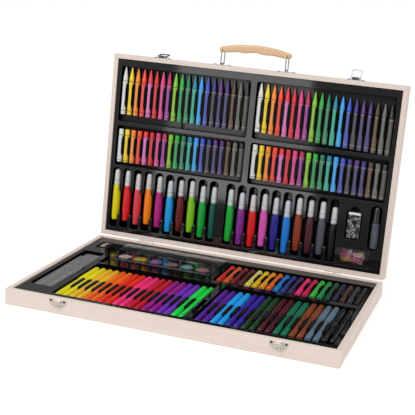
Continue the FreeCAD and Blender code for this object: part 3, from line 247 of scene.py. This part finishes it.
def tinted(name, gloss, mottle=0.06, fine=1600.0, relief=0.05, coat=0.0, level=0.5, fade=0.0):
    """A surface whose colour is set for each band of each stick; fade greys it as matt paper does."""
    s = Shade(name)
    tint = s.add("Attribute", {"attribute_name": "tint"}).outputs["Color"]
    specks = s.cloud(s.place(), fine, 3.0, 0.6)
    shade = s.ramp(specks, [(0.25, 1.0 - mottle * 2), (0.75, 1.0)])
    if fade:
        tint = s.mix(fade, tint, linear("8b8688"))
    s.put("Base Color", s.mix(1.0, tint, shade, "MULTIPLY"))
    s.put("Roughness", s.ramp(specks, [(0.3, gloss), (0.7, gloss + 0.08)]))
    s.surface.inputs["Specular IOR Level"].default_value = level
    if coat:
        s.surface.inputs["Coat Weight"].default_value = coat
        s.surface.inputs["Coat Roughness"].default_value = 0.06
    s.relief(specks, relief, 0.0003)
    return s.material


def metal(name, colour, rough=0.2, worn="8d8a84", metallic=1.0):
    """Plated metal with faint wear."""
    s = Shade(name, Metallic=metallic)
    wear = s.cloud(s.place(), 600.0, 4.0, 0.65)
    brush = s.cloud(s.place((900, 60, 60)), 1.0, 2.0)
    s.put("Base Color", s.mix(s.ramp(wear, [(0.45, 0.0), (0.8, 0.5)]), linear(colour), linear(worn)))
    s.put("Roughness", s.ramp(wear, [(0.3, rough), (0.8, rough + 0.14)]))
    s.relief(brush, 0.06, 0.0001, 0.0002)
    return s.material


def clear(name, tint, rough=0.04, share=1.0):
    """Clear plastic; share is how much of it is clear, the rest is milky."""
    s = Shade(name, Transmission_Weight=share, IOR=1.45)
    smear = s.cloud(s.place((30, 90, 90)), 1.0, 3.0)
    s.put("Base Color", s.mix(s.ramp(smear, [(0.3, 0.0), (0.8, 0.25)]), linear(tint), linear("ffffff")))
    s.put("Roughness", s.ramp(smear, [(0.35, rough), (0.75, rough + 0.06)]))
    s.relief(smear, 0.04, 0.0004, 0.0003)
    return s.material


def flecked(name):
    """Black card with small white curls and flecks."""
    s = Shade(name)
    curls = s.cloud(s.place(), 210.0, 1.0, 0.5, 1.6)
    line = s.ramp(curls, [(0.47, 0.0), (0.482, 1.0), (0.518, 1.0), (0.53, 0.0)])
    breaks = s.cloud(s.place(), 140.0, 2.0, 0.5, 0.4)
    shown = s.maths("MULTIPLY", line, s.ramp(breaks, [(0.46, 0.0), (0.5, 1.0)]))
    s.put("Base Color", s.mix(shown, linear("0a0a0b"), linear("fbfaf6")))
    s.put("Roughness", s.ramp(curls, [(0.3, 0.3), (0.7, 0.42)]))
    s.surface.inputs["Specular IOR Level"].default_value = 0.3
    s.relief(curls, 0.04, 0.0001, 0.0003)
    return s.material


def frosted(name):
    """Translucent grey plastic with faint streaks along it."""
    s = Shade(name)
    streaks = s.cloud(s.place((190, 5, 60)), 1.0, 4.0, 0.6, 0.3)
    tones = ((0.34, "3d4041"), (0.46, "5a5d5e"), (0.55, "4a4d4e"), (0.66, "85888a"))
    shades = [(where, linear(tone)) for where, tone in tones]
    speckle = s.cloud(s.place(), 260.0, 3.0, 0.6)
    s.put("Base Color", s.mix(0.6, s.ramp(streaks, shades), s.ramp(speckle, [(0.3, 0.09), (0.7, 0.2)])))
    s.put("Roughness", s.ramp(streaks, [(0.3, 0.2), (0.7, 0.32)]))
    s.surface.inputs["Coat Weight"].default_value = 0.2
    s.surface.inputs["Coat Roughness"].default_value = 0.1
    s.relief(streaks, 0.08, 0.0004, 0.0006)
    return s.material


def rubber(name):
    """White rubber with a fine crumb."""
    s = Shade(name)
    crumb = s.cloud(s.place(), 1500.0, 4.0, 0.7)
    s.put("Base Color", s.mix(s.ramp(crumb, [(0.5, 0.0), (0.8, 0.4)]), linear("f2f1ed"), linear("d8d5cf")))
    s.put("Roughness", s.ramp(crumb, [(0.3, 0.6), (0.7, 0.75)]))
    s.relief(crumb, 0.1, 0.0002, 0.0006)
    return s.material


BASE_WOOD = ("f2e2d8", "e4cfc2")
# the lid's wood is the base's wood a little darker: painted shade, for the lid's boards get less light
LID_WOOD_PAINTED_SHADE = ("e9dad0", "d9c6ba")
finish = {
    "wood_base_x": wood("wood_base_x", *BASE_WOOD, "X"),
    "wood_base_y": wood("wood_base_y", *BASE_WOOD, "Y"),
    "wood_lid_x": wood("wood_lid_x", *LID_WOOD_PAINTED_SHADE, "X", lid=True),
    "wood_lid_y": wood("wood_lid_y", *LID_WOOD_PAINTED_SHADE, "Y", lid=True),
    "panel_base": wood("panel_base", "efdccb", "dcc0a8", "X"),
    "panel_lid": wood("panel_lid", "efdccb", "dcc0a8", "X", lid=True),
    "grip_wood": wood("grip_wood", "e8bf90", "cf9c66", "X", gloss=0.42, contrast=0.7),
    "tray_black": moulded("tray_black", "0d0d0e", painted_shade_reach=0.012),
    # the base's tray is the lid's plastic with about half its reflection: painted shade that darkens its
    # flanges
    "base_tray_black": moulded("base_tray_black", "0d0d0e", level=0.24, painted_shade_reach=0.04),
    # a lighter grey, more reflective copy of the tray's plastic: painted highlight on the moulded tips
    "tip_painted_highlight": moulded("tip_painted_highlight", "2c2c2e", gloss=0.22, edge=0.0, level=1.0, haze=0.05),
    # a darker copy of the tray's plastic that hardly reflects: painted shade on the ribs
    "rib_painted_shade": moulded("rib_painted_shade", "080809", gloss=0.12, level=0.05),
    "black_plastic": moulded("black_plastic", "0f0f10", gloss=0.1, edge=0.0005),
    "frosted": frosted("frosted"),
    "nickel": metal("nickel", "a5a29b", 0.13, worn="5f5c58"),
    "hinge_steel": metal("hinge_steel", "bdb9b0", 0.2),
    "blade": metal("blade", "c4c6c8", 0.28),
    "clear_lid": clear("clear_lid", "eef2f4"),
    "clear_glue": clear("clear_glue", "7f8d9a", 0.1, share=0.72),
    "wrapper": tinted("wrapper", 0.5, 0.05, 1300.0, 0.1, level=0.4, fade=0.1),
    "slim_paper": tinted("slim_paper", 0.5, 0.05, 1300.0, 0.1, level=0.4),
    "wax": tinted("wax", 0.4, 0.1, 700.0, 0.16, level=0.5),
    "marker_body": tinted("marker_body", 0.13, 0.02, 900.0, 0.015, level=0.36),
    "marker_cap": tinted("marker_cap", 0.34, 0.02, 900.0, 0.02, level=0.35),
    "pen_plastic": tinted("pen_plastic", 0.2, 0.02, 900.0, 0.015, level=0.3),
    "paint_cake": tinted("paint_cake", 0.7, 0.14, 900.0, 0.3),
    "clip_vinyl": tinted("clip_vinyl", 0.25, 0.02, 900.0, 0.02, coat=0.4),
    "lacquer": tinted("lacquer", 0.2, 0.05, 900.0, 0.03, coat=0.4),
    "sleeve": flecked("sleeve"),
    "catch_plate": metal("catch_plate", "e2dbd1", 0.38, worn="a09990"),
    "dull_zinc": metal("dull_zinc", "b5b2ac", 0.5, worn="86837e", metallic=0.4),
    "dark_steel": metal("dark_steel", "4b4946", 0.3, worn="2c2b29"),
    "rubber": rubber("rubber"),
}


# ---------------------------------------------------------------- finishes of the CAD nodes
def dress(node, name):
    """Gives a CAD node one finish."""
    mesh = nodes[node].data
    if not mesh.materials:
        mesh.materials.append(finish[name])
    for i in range(len(mesh.materials)):
        mesh.materials[i] = finish[name]


FITTINGS = {
    "catch_left": "catch_plate",
    "catch_right": "catch_plate",
    "latch_left_lever": "dark_steel",
    "latch_left_claw": "dark_steel",
    "latch_right_lever": "dark_steel",
    "latch_right_claw": "dull_zinc",
}
for node in nodes:
    if node.startswith(("catch_", "latch_", "handle_bracket", "handle_link", "handle_screws")):
        dress(node, FITTINGS.get(node, "dark_steel" if node.endswith("_screws") else "nickel"))
    elif node.startswith("hinge_"):
        dress(node, "hinge_steel")
for half in ("base", "lid"):
    for side in ("front", "back"):
        dress(f"{half}_{side}_board", f"wood_{half}_x")
    for side in ("left", "right"):
        dress(f"{half}_{side}_board", f"wood_{half}_y")
    dress(f"{half}_tray", "tray_black" if half == "lid" else "base_tray_black")
for node, name in {
    "base_bottom_panel": "panel_base",
    "lid_panel": "panel_lid",
    "handle_grip": "grip_wood",
    "slim_box": "frosted",
    "sharpener_body": "black_plastic",
    "sharpener_blade": "blade",
    "paint_box_base": "black_plastic",
    "paint_box_lid": "clear_lid",
    "clip_cover": "clear_lid",
    "glue_pen_body": "clear_glue",
    "glue_pen_cap": "black_plastic",
    "eraser": "rubber",
    "eraser_sleeve": "sleeve",
}.items():
    dress(node, name)


RIB_TOP = 0.6  # the ribs' tops below the flange
RIB_DEPTH = 8.0  # how far down a rib's sides count as rib


def paint_rib_shade(node, half, spans):
    """Gives the ribs between the sticks a darker copy of the tray's plastic that hardly reflects, as painted
    shade; spans are (y from, y to).
    """
    piece = nodes[node]
    mesh = piece.data
    mesh.materials.append(finish["rib_painted_shade"])
    to_half = half.inverted() @ piece.matrix_world
    for face in mesh.polygons:
        spot = to_half @ face.center / MM
        if FLANGE - RIB_DEPTH < spot.z < FLANGE - RIB_TOP and any(y0 < spot.y < y1 for y0, y1 in spans):
            face.material_index = len(mesh.materials) - 1


paint_rib_shade("lid_tray", LID, ((236, 280), (149, 185)))
paint_rib_shade("base_tray", BASE, ((45, 150), (205, 275)))


# ---------------------------------------------------------------- turned pieces
class Turned:
    """Turned pieces gathered in one mesh, with a colour for each of their bands."""

    def __init__(self, half):
        self.half = half
        self.points, self.faces, self.tints, self.slots = [], [], [], []

    def add(self, start, profile, bands, axis=(0, 1, 0), segments=32, closed=(True, True)):
        """One piece. profile holds (distance, radius) pairs and bands (end, material, colour), in mm,
        and closed says whether its first and its last end has a face."""
        rings = list(profile)
        for end, _, _ in bands[:-1]:
            for i in range(len(rings) - 1):
                (s0, r0), (s1, r1) = rings[i], rings[i + 1]
                if s0 < end - 1e-4 and end + 1e-4 < s1:
                    rings.insert(i + 1, (end, r0 + (r1 - r0) * (end - s0) / (s1 - s0)))
                    break
        along = Vector(axis)
        side = Vector((1, 0, 0)) if abs(along.x) < 0.5 else Vector((0, 1, 0))
        up = along.cross(side)
        first = len(self.points)
        for s, r in rings:
            for k in range(segments):
                turn = 2 * math.pi * (k + 0.5) / segments
                spot = Vector(start) + along * s + side * (r * math.cos(turn)) + up * (r * math.sin(turn))
                self.points.append(self.half @ (spot * MM))
        for i in range(len(rings) - 1):
            middle = (rings[i][0] + rings[i + 1][0]) / 2
            _, slot, colour = next((b for b in bands if middle <= b[0]), bands[-1])
            a, b = first + i * segments, first + (i + 1) * segments
            for k in range(segments):
                n = (k + 1) % segments
                self._face((a + k, b + k, b + n, a + n), slot, colour)
        if closed[0]:
            self._face(range(first, first + segments), *bands[0][1:])
        if closed[1]:
            last = first + (len(rings) - 1) * segments
            self._face([last + k for k in reversed(range(segments))], *bands[-1][1:])

    def _face(self, corners, slot, colour):
        self.faces.append(tuple(corners))
        self.slots.append(slot)
        self.tints.append(linear(colour))

    def build(self, name, body, slot, materials, replaced):
        """Makes the piece; materials are the finishes that its bands count through."""
        mesh = bpy.data.meshes.new(name)
        mesh.from_pydata(self.points, [], self.faces)
        for material in materials:
            mesh.materials.append(finish[material])
        mesh.polygons.foreach_set("material_index", self.slots)
        paint(mesh, self.tints)
        smooth(mesh)
        present(name, mesh, body, replaced)


def paint(mesh, tints):
    """Stores one colour for each face."""
    store = mesh.color_attributes.new("tint", "FLOAT_COLOR", "CORNER")
    flat = [0.0] * (4 * len(mesh.loops))
    for face, tint in zip(mesh.polygons, tints):
        for loop in face.loop_indices:
            flat[4 * loop : 4 * loop + 4] = tint
    store.data.foreach_set("color", flat)


def smooth(mesh):
    mesh.shade_smooth()
    mesh.set_sharp_from_angle(angle=math.radians(38))


def present(name, mesh, body, replaced):
    """Puts a mesh in the scene, on its body, in place of the replaced nodes."""
    piece = bpy.data.objects.new(name, mesh)
    bpy.context.collection.objects.link(piece)
    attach(piece, body)
    if replaced:
        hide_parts(*replaced)


def steps(pair, count):
    """Even steps from the first of a pair to the last."""
    first, last = pair
    return [first + (last - first) * i / (count - 1) for i in range(count)]


def row(first, pitch, start, room, slide, dia, count):
    """Where each stick of a row starts; slide is the share of the free room below the first and the
    last one."""
    z = FLANGE - REST - dia / 2
    return [(first + i * pitch, start + share * room, z) for i, share in enumerate(steps(slide, count))]


def crayon(turned, spot, wrapper, wax, ring):
    """A wrapped crayon with a long turned tip."""
    r = 4.25
    profile = [
        (0, r * 0.78), (0.35, r * 0.9), (0.5, r * 0.93), (0.5, r), (61.2, r), (61.2, r * 0.955),
        (66.2, r * 0.95), (67.0, r * 0.92), (67.2, r * 0.9), (68.6, r * 0.87), (83.6, 1.22), (84.2, 1.1),
        (85, 0.55),
    ]
    bands = [
        (0.5, 1, wax), (6.6, 0, wrapper), (7.5, 0, ring), (59.6, 0, wrapper), (60.5, 0, ring),
        (61.2, 0, wrapper), (85, 1, wax),
    ]
    turned.add(spot, profile, bands)


def stub(turned, spot, wrapper, wax, ring):
    """A short wrapped crayon with a flat end."""
    r = 4.5
    profile = [
        (0, r * 0.8), (0.4, r * 0.9), (0.5, r * 0.93), (0.5, r), (50.2, r), (50.2, r * 0.955),
        (58.9, r * 0.95), (59.7, r * 0.9), (60, r * 0.82),
    ]
    bands = [
        (0.5, 1, wax), (3.2, 0, wrapper), (4.0, 0, ring), (48.8, 0, wrapper), (49.6, 0, ring),
        (50.2, 0, wrapper), (60, 1, wax),
    ]
    turned.add(spot, profile, bands)


def slim(turned, spot, colour):
    """A slim crayon with a blunt nose."""
    r = 4.6
    nose = blend(colour, "b4b2b2", 0.25)
    profile = [
        (0, r * 0.86), (0.4, r * 0.97), (0.6, r), (77.4, r), (77.4, r * 0.92), (78, r * 0.86), (79.2, 2.6),
        (80.4, 2.35), (81, 1.6),
    ]
    bands = [(8, 0, colour), (8.6, 0, INK), (77.4, 0, colour), (81, 1, nose)]
    turned.add(spot, profile, bands)


# the lid's crayons: the recess's lower end, the free room, the diameter, the slot, the maker, and
# the slides of the left and of the right row
LID_ROWS = {
    "upper": (210.5, 14.0, 8.5, "crayon_mix", crayon, {"left": (0.93, 0.71), "right": (0.87, 0.05)}),
    "lower": (131.0, 12.5, 9.0, "stub_mix", stub, {"left": (0.46, 0.65), "right": (0.78, 0.38)}),
}
for level, (start, room, dia, slot, make, slides) in LID_ROWS.items():
    for first, (side, slide) in zip(CRAYON_STARTS, slides.items()):
        node = f"crayons_{level}_{side}"
        sticks = Turned(LID)
        for spot, colours in zip(row(first, CRAYON_PITCH, start, room, slide, dia, len(CRAYONS)), CRAYONS):
            make(sticks, spot, *colours)
        sticks.build(f"{node}_sticks", "lid", slot, ("wrapper", "wax"), [node])

sticks = Turned(BASE)
for spot, colour in zip(row(SLIM_START, SLIM_PITCH, 198.0, 21.0, (0.6, 0.76), 9.2, len(SLIM)), SLIM):
    slim(sticks, spot, colour)
sticks.build("slim_crayons_sticks", "base", "slim_mix", ("slim_paper", "wax"), ["slim_crayons"])

# markers: a stout barrel and a domed cap with a step above its collar
barrels, caps = Turned(LID), Turned(LID)
MARKER_FOOT = 16.5  # the slots' lower end
MARKER_ROOM = 16.0  # by which a slot is longer than a marker
MARKER_RADIUS = 7.6  # of the CAD's barrels, whose middle line these keep
MARKER_SLIDES = (  # how far up each marker lies in its slot, as a share of that room
    (0.78, 0.79, 0.55, 0.77, 0.62, 0.3, 0.55, 0.66, 0.26, 0.33),
    (0.35, 0.16, 0.11, 0.39, 0.18, 0.04, 0.53, 0.46, 0.5, 0.08),
)
MARKER_BARREL = [
    (0, 4.9), (0.3, 5.5), (0.6, 5.75), (1.2, 6.25), (1.5, 6.35), (3.6, 6.52), (3.8, 6.3), (4.2, 6.3),
    (4.4, 6.58), (5.8, 6.7), (20.7, 6.95), (45.3, 6.95), (52, 6.9), (60, 6.74), (64.1, 6.5),
    (64.65, 6.2), (64.7, 5.6),
]
MARKER_CAP = [
    (64.7, 5.6), (64.8, 6.0), (65.1, 6.12), (72.4, 6.04), (72.6, 5.82), (73.0, 5.82), (73.2, 6.0),
    (82, 5.7), (89.6, 5.44), (91.2, 4.95), (92.4, 4.3), (93.4, 3.2), (94, 2.0),
]
CAP_WHITE = "dfe2e4"  # which lets a little of the marker's colour through
for first, shares, palette in zip(MARKER_STARTS, MARKER_SLIDES, (MARKERS_LEFT, MARKERS_RIGHT)):
    for i, (share, colour) in enumerate(zip(shares, palette)):
        spot = (first + MARKER_PITCH * i, MARKER_FOOT + share * MARKER_ROOM, FLANGE - REST - MARKER_RADIUS)
        barrels.add(spot, MARKER_BARREL, [(64.7, 0, colour)])
        upper, lower = blend(CAP_WHITE, colour, 0.05), blend(CAP_WHITE, colour, 0.16)
        caps.add(spot, MARKER_CAP, [(67.2, 0, lower), (72.4, 0, upper), (73.2, 0, "8a8c8e"), (94, 0, upper)])
barrels.build("marker_barrels_turned", "lid", "marker_body", ("marker_body",), ["marker_barrels"])
caps.build("marker_caps_turned", "lid", "marker_cap", ("marker_cap",), ["marker_caps"])

# pens: a slim barrel at the front and a stouter cap behind it
barrels, caps = Turned(BASE), Turned(BASE)
PEN_SLIDES = ((0.24, 0.26), (0.23, 0.9))
PEN_BARREL = [(0, 3.2), (0.5, 3.9), (1.4, 4.3), (2.2, 4.45), (2.4, 4.7), (8, 4.8), (82, 4.8), (82.6, 4.6)]
PEN_CAP = [
    (81.6, 4.9), (82.0, 5.25), (82.4, 5.4), (84.4, 5.4), (84.8, 5.25), (85.6, 5.25), (86.0, 5.4),
    (139.4, 5.3), (140.6, 4.9), (141.2, 4.3), (142.6, 4.2), (143, 3.6),
]
for first, slide, palette in zip(PEN_STARTS, PEN_SLIDES, (PENS_LEFT, PENS_RIGHT)):
    for i, spot in enumerate(row(first, PEN_PITCH, 22.0, 21.0, slide, 10.8, 2 * len(palette))):
        colour = palette[i // 2]
        barrels.add(spot, PEN_BARREL, [(83, 0, colour)])
        caps.add(spot, PEN_CAP, [(143, 0, colour)])
barrels.build("pen_barrels_turned", "base", "pen_body", ("pen_plastic",), ["pen_barrels"])
caps.build("pen_caps_turned", "base", "pen_cap", ("pen_plastic",), ["pen_caps"])

# watercolour pans, each a worn cake in a thin cup
CUP = [
    (0, 11.6), (0.4, 12.2), (3.6, 12.4), (3.95, 12.4), (4.0, 12.2), (3.8, 12.0), (3.4, 11.9), (0.6, 11.8),
]
CAKE = [(0.6, 11.7), (3.3, 11.7), (3.75, 11.2), (3.6, 8.5), (3.3, 4.0), (3.2, 0.8)]
pans = Turned(BASE)
for i, colour in enumerate(PAINTS):
    spot = (PAN_START[0] + PAN_PITCH * i, *PAN_START[1:])
    pans.add(spot, CUP, [(5, 1, "2a2a2c")], (0, 0, 1), 48, (True, False))
    pans.add(spot, CAKE, [(5, 0, colour)], (0, 0, 1), 48, (False, True))
pans.build("paint_pans_cakes", "paint_box", "paint_cake", ("paint_cake", "lacquer"), ["paint_pans"])

# the brush: a lacquered handle, a ferrule and hair that ends in a point
brush = Turned(BASE)
lo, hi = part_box("paint_brush")
middle = BASE.inverted() @ Vector([(a + b) / 2 for a, b in zip(lo, hi)]) / MM
length = (hi[0] - lo[0]) / MM
shaft = [
    (0, 0.5), (0.6, 1.0), (3, 1.5), (length * 0.35, 2.1), (length * 0.62, 2.45), (length * 0.72, 2.2),
    (length * 0.74, 2.05), (length * 0.742, 2.3), (length * 0.76, 2.3), (length * 0.765, 2.1),
    (length * 0.88, 1.9), (length * 0.885, 2.05), (length * 0.9, 2.2), (length * 0.94, 1.9),
    (length * 0.98, 0.9), (length, 0.15),
]
hues = [(length * 0.74, 0, "16161a"), (length * 0.885, 1, "c9c7c0"), (length, 2, "6b4526")]
brush.add((lo[0] / MM, middle.y, middle.z), shaft, hues, (1, 0, 0), 24)
brush.build("paint_brush_turned", "paint_box", "brush_lacquer", ("lacquer", "nickel", "wax"), ["paint_brush"])


def tips(name, half, body, spots, radius, reach):
    """The moulded ends of dividers and ribs: small glossy domes, lighter grey and more reflective than the
    tray as a painted highlight, each as (x, y, z of its top).
    """
    domes = Turned(half)
    turns = [math.pi * k / 10 for k in range(11)]
    profile = [(reach * (1 - math.cos(a)), max(radius * math.sin(a), 0.05)) for a in turns]
    for x, y, top in spots:
        domes.add((x, y - reach, top - radius), profile, [(2 * reach, 0, "141415")], segments=20)
    domes.build(name, body, "tray_black", ("tip_painted_highlight",), None)


def between(starts, pitch, count, y, top):
    """The tops of the tips halfway between neighbours of rows of count sticks."""
    return [(first + pitch * (i + 0.5), y, top) for first in starts for i in range(count - 1)]


lid_tips = between(MARKER_STARTS, MARKER_PITCH, len(MARKERS_LEFT), 39.6, -1.75)
tips("marker_divider_tips", LID, "lid", lid_tips, 2.2, 2.6)
pen_tips = between(PEN_STARTS, PEN_PITCH, 2 * len(PENS_LEFT), 67.4, -5.6)
slim_tips = between([SLIM_START], SLIM_PITCH, len(SLIM), 239.2, -5.2)
tips("rib_tips", BASE, "base", pen_tips + slim_tips, 1.5, 2.2)


# ---------------------------------------------------------------- copies of CAD meshes in several colours
def islands(mesh):
    """The faces of each separate solid of a mesh."""
    owner = list(range(len(mesh.vertices)))

    def root(v):
        while owner[v] != v:
            owner[v] = owner[owner[v]]
            v = owner[v]
        return v

    for edge in mesh.edges:
        a, b = (root(v) for v in edge.vertices)
        owner[a] = b
    groups = {}
    for face in mesh.polygons:
        groups.setdefault(root(face.vertices[0]), []).append(face.index)
    return list(groups.values())


def recoloured(node, name, body, material, palette):
    """A copy of a node of several solids that gives each of them a colour."""
    mesh = nodes[node].data.copy()
    work = bmesh.new()
    work.from_mesh(mesh)
    bmesh.ops.remove_doubles(work, verts=work.verts, dist=1e-6)
    work.to_mesh(mesh)
    work.free()
    mesh.materials.clear()
    mesh.materials.append(finish[material])
    mesh.polygons.foreach_set("material_index", [0] * len(mesh.polygons))
    tints = [linear("ffffff")] * len(mesh.polygons)
    for i, faces in enumerate(islands(mesh)):
        for face in faces:
            tints[face] = linear(palette[i % len(palette)])
    paint(mesh, tints)
    smooth(mesh)
    present(name, mesh, body, [node])


recoloured("paper_clips", "paper_clips_tinted", "lid", "clip_vinyl", CLIPS)


# ---------------------------------------------------------------- stage
def card(name, corners, strength):
    """A panel that only gloss shows."""
    mesh = bpy.data.meshes.new(name)
    mesh.from_pydata(corners, [], [tuple(range(len(corners)))])
    piece = bpy.data.objects.new(name, mesh)
    bpy.context.collection.objects.link(piece)
    material = bpy.data.materials.new(name)
    material.use_nodes = True
    tree = material.node_tree
    tree.nodes.clear()
    glow = tree.nodes.new("ShaderNodeEmission")
    glow.inputs["Strength"].default_value = strength
    out = tree.nodes.new("ShaderNodeOutputMaterial")
    tree.links.new(glow.outputs[0], out.inputs["Surface"])
    mesh.materials.append(material)
    piece.visible_camera = False
    piece.visible_diffuse = False
    piece.visible_shadow = False
    piece.visible_transmission = False
    piece.visible_volume_scatter = False


def wall(name, strength, lower, upper, y=-1.6):
    """An upright card: its lower and its upper edge as (x from, x to, z)."""
    (a0, a1, z0), (b0, b1, z1) = lower, upper
    card(name, [(a0, y, z0), (a1, y, z0), (b1, y, z1), (b0, y, z1)], strength)


# the lid's tray mirrors a softbox between darker surroundings, whose edges run a little aslant
SOFTBOX_LOW = (-0.885, -0.255, 0.0)
SOFTBOX_MIDDLE = (-0.874, -0.275, 0.11)
SOFTBOX_HIGH = (-0.825, -0.34, 0.56)
wall("softbox_upper", 2.9, SOFTBOX_MIDDLE, SOFTBOX_HIGH)
wall("softbox_lower", 3.7, SOFTBOX_LOW, SOFTBOX_MIDDLE)
wall("dark_side", 0.42, (SOFTBOX_LOW[1], 0.9, 0.0), (SOFTBOX_HIGH[1], 0.9, 0.56))
wall("room_left", 0.62, (-3.0, SOFTBOX_LOW[0], 0.0), (-3.0, SOFTBOX_HIGH[0], 0.56))
wall("dark_table", 0.26, (-3.0, 3.0, -0.7), (-3.0, 3.0, 0.0))
wall("dark_above", 0.3, (-3.0, 3.0, 0.56), (-3.0, 3.0, 1.15))
wall("room_back", 0.4, (-6.0, 6.0, 0.2), (-6.0, 6.0, 4.0), y=3.2)
card("overhead", [(-1.3, -1.9, 1.2), (0.5, -1.9, 1.2), (0.5, -1.3, 2.1), (-1.3, -1.3, 2.1)], 8.0)

# the floor takes the object's shadow, and its own glow for the camera turns the rest of it white
FLOOR_GLOW = 0.34
floor_mesh = bpy.data.meshes.new("floor")
floor_mesh.from_pydata([(-30, -8, 0), (30, -8, 0), (30, 60, 0), (-30, 60, 0)], [], [(0, 1, 2, 3)])
floor = bpy.data.objects.new("floor", floor_mesh)
bpy.context.collection.objects.link(floor)
ground = Shade("floor_white", Roughness=0.9)
ground.surface.inputs["Specular IOR Level"].default_value = 0.0
ground.put("Base Color", (0.93, 0.93, 0.93, 1))
ground.put("Emission Color", (1, 1, 1, 1))
seen = ground.add("LightPath").outputs["Is Camera Ray"]
ground.put("Emission Strength", ground.maths("MULTIPLY", seen, FLOOR_GLOW))
floor_mesh.materials.append(ground.material)
floor.visible_glossy = False

# the world is white where it is seen, mirrored or looked at through the clear pieces
WORLD_LIGHT = 0.72
world = bpy.data.worlds.new("studio")
bpy.context.scene.world = world
world.use_nodes = True
tree = world.node_tree
back = tree.nodes["Background"]
path = tree.nodes.new("ShaderNodeLightPath")
shown = path.outputs["Is Camera Ray"]
for ray in ("Is Glossy Ray", "Is Transmission Ray"):
    either = tree.nodes.new("ShaderNodeMath")
    either.operation = "MAXIMUM"
    tree.links.new(shown, either.inputs[0])
    tree.links.new(path.outputs[ray], either.inputs[1])
    shown = either.outputs[0]
strength = tree.nodes.new("ShaderNodeMapRange")
tree.links.new(shown, strength.inputs["Value"])
strength.inputs["To Min"].default_value = WORLD_LIGHT
strength.inputs["To Max"].default_value = 1.0
back.inputs["Color"].default_value = (1, 1, 1, 1)
tree.links.new(strength.outputs["Result"], back.inputs["Strength"])


def lamp(name, place, target, size, power):
    """A square lamp turned to its target."""
    data = bpy.data.lights.new(name, "AREA")
    data.size = size
    data.energy = power
    light = bpy.data.objects.new(name, data)
    light.location = place
    light.rotation_euler = (Vector(target) - Vector(place)).to_track_quat("-Z", "Y").to_euler()
    bpy.context.collection.objects.link(light)


lamp("key", (-1.2, -1.6, 1.9), (0, 0, 0.1), 1.6, 16)
lamp("fill", (1.6, -1.2, 1.3), (0, 0, 0.1), 1.4, 5)

# ---------------------------------------------------------------- camera
AZIMUTH, ELEVATION, ROLL = (math.radians(a) for a in (16.38, 15.79, 4.34))
EYE = (0.4902, -1.4226, 0.5637)
PICTURE = 415  # the side of the square picture, in pixels
FOCAL, CENTRE = 982.2, (251.3, 221.5)  # in the same pixels
SENSOR = 36.0  # its width in mm
forward = Vector(
    (
        -math.sin(AZIMUTH) * math.cos(ELEVATION),
        math.cos(AZIMUTH) * math.cos(ELEVATION),
        -math.sin(ELEVATION),
    )
)
level = forward.cross(Vector((0, 0, 1))).normalized()
upward = level.cross(forward)
right = level * math.cos(ROLL) + upward * math.sin(ROLL)
up = upward * math.cos(ROLL) - level * math.sin(ROLL)
data = bpy.data.cameras.new("camera")
data.sensor_width = SENSOR
data.lens = FOCAL / PICTURE * SENSOR
data.shift_x = (PICTURE / 2 - CENTRE[0]) / PICTURE
data.shift_y = (CENTRE[1] - PICTURE / 2) / PICTURE
data.clip_end = 50
camera = bpy.data.objects.new("camera", data)
turn = Matrix((right, up, -forward)).transposed().to_4x4()
camera.matrix_world = Matrix.Translation(EYE) @ turn
bpy.context.collection.objects.link(camera)
bpy.context.scene.camera = camera
bpy.context.scene.view_settings.view_transform = "Standard"
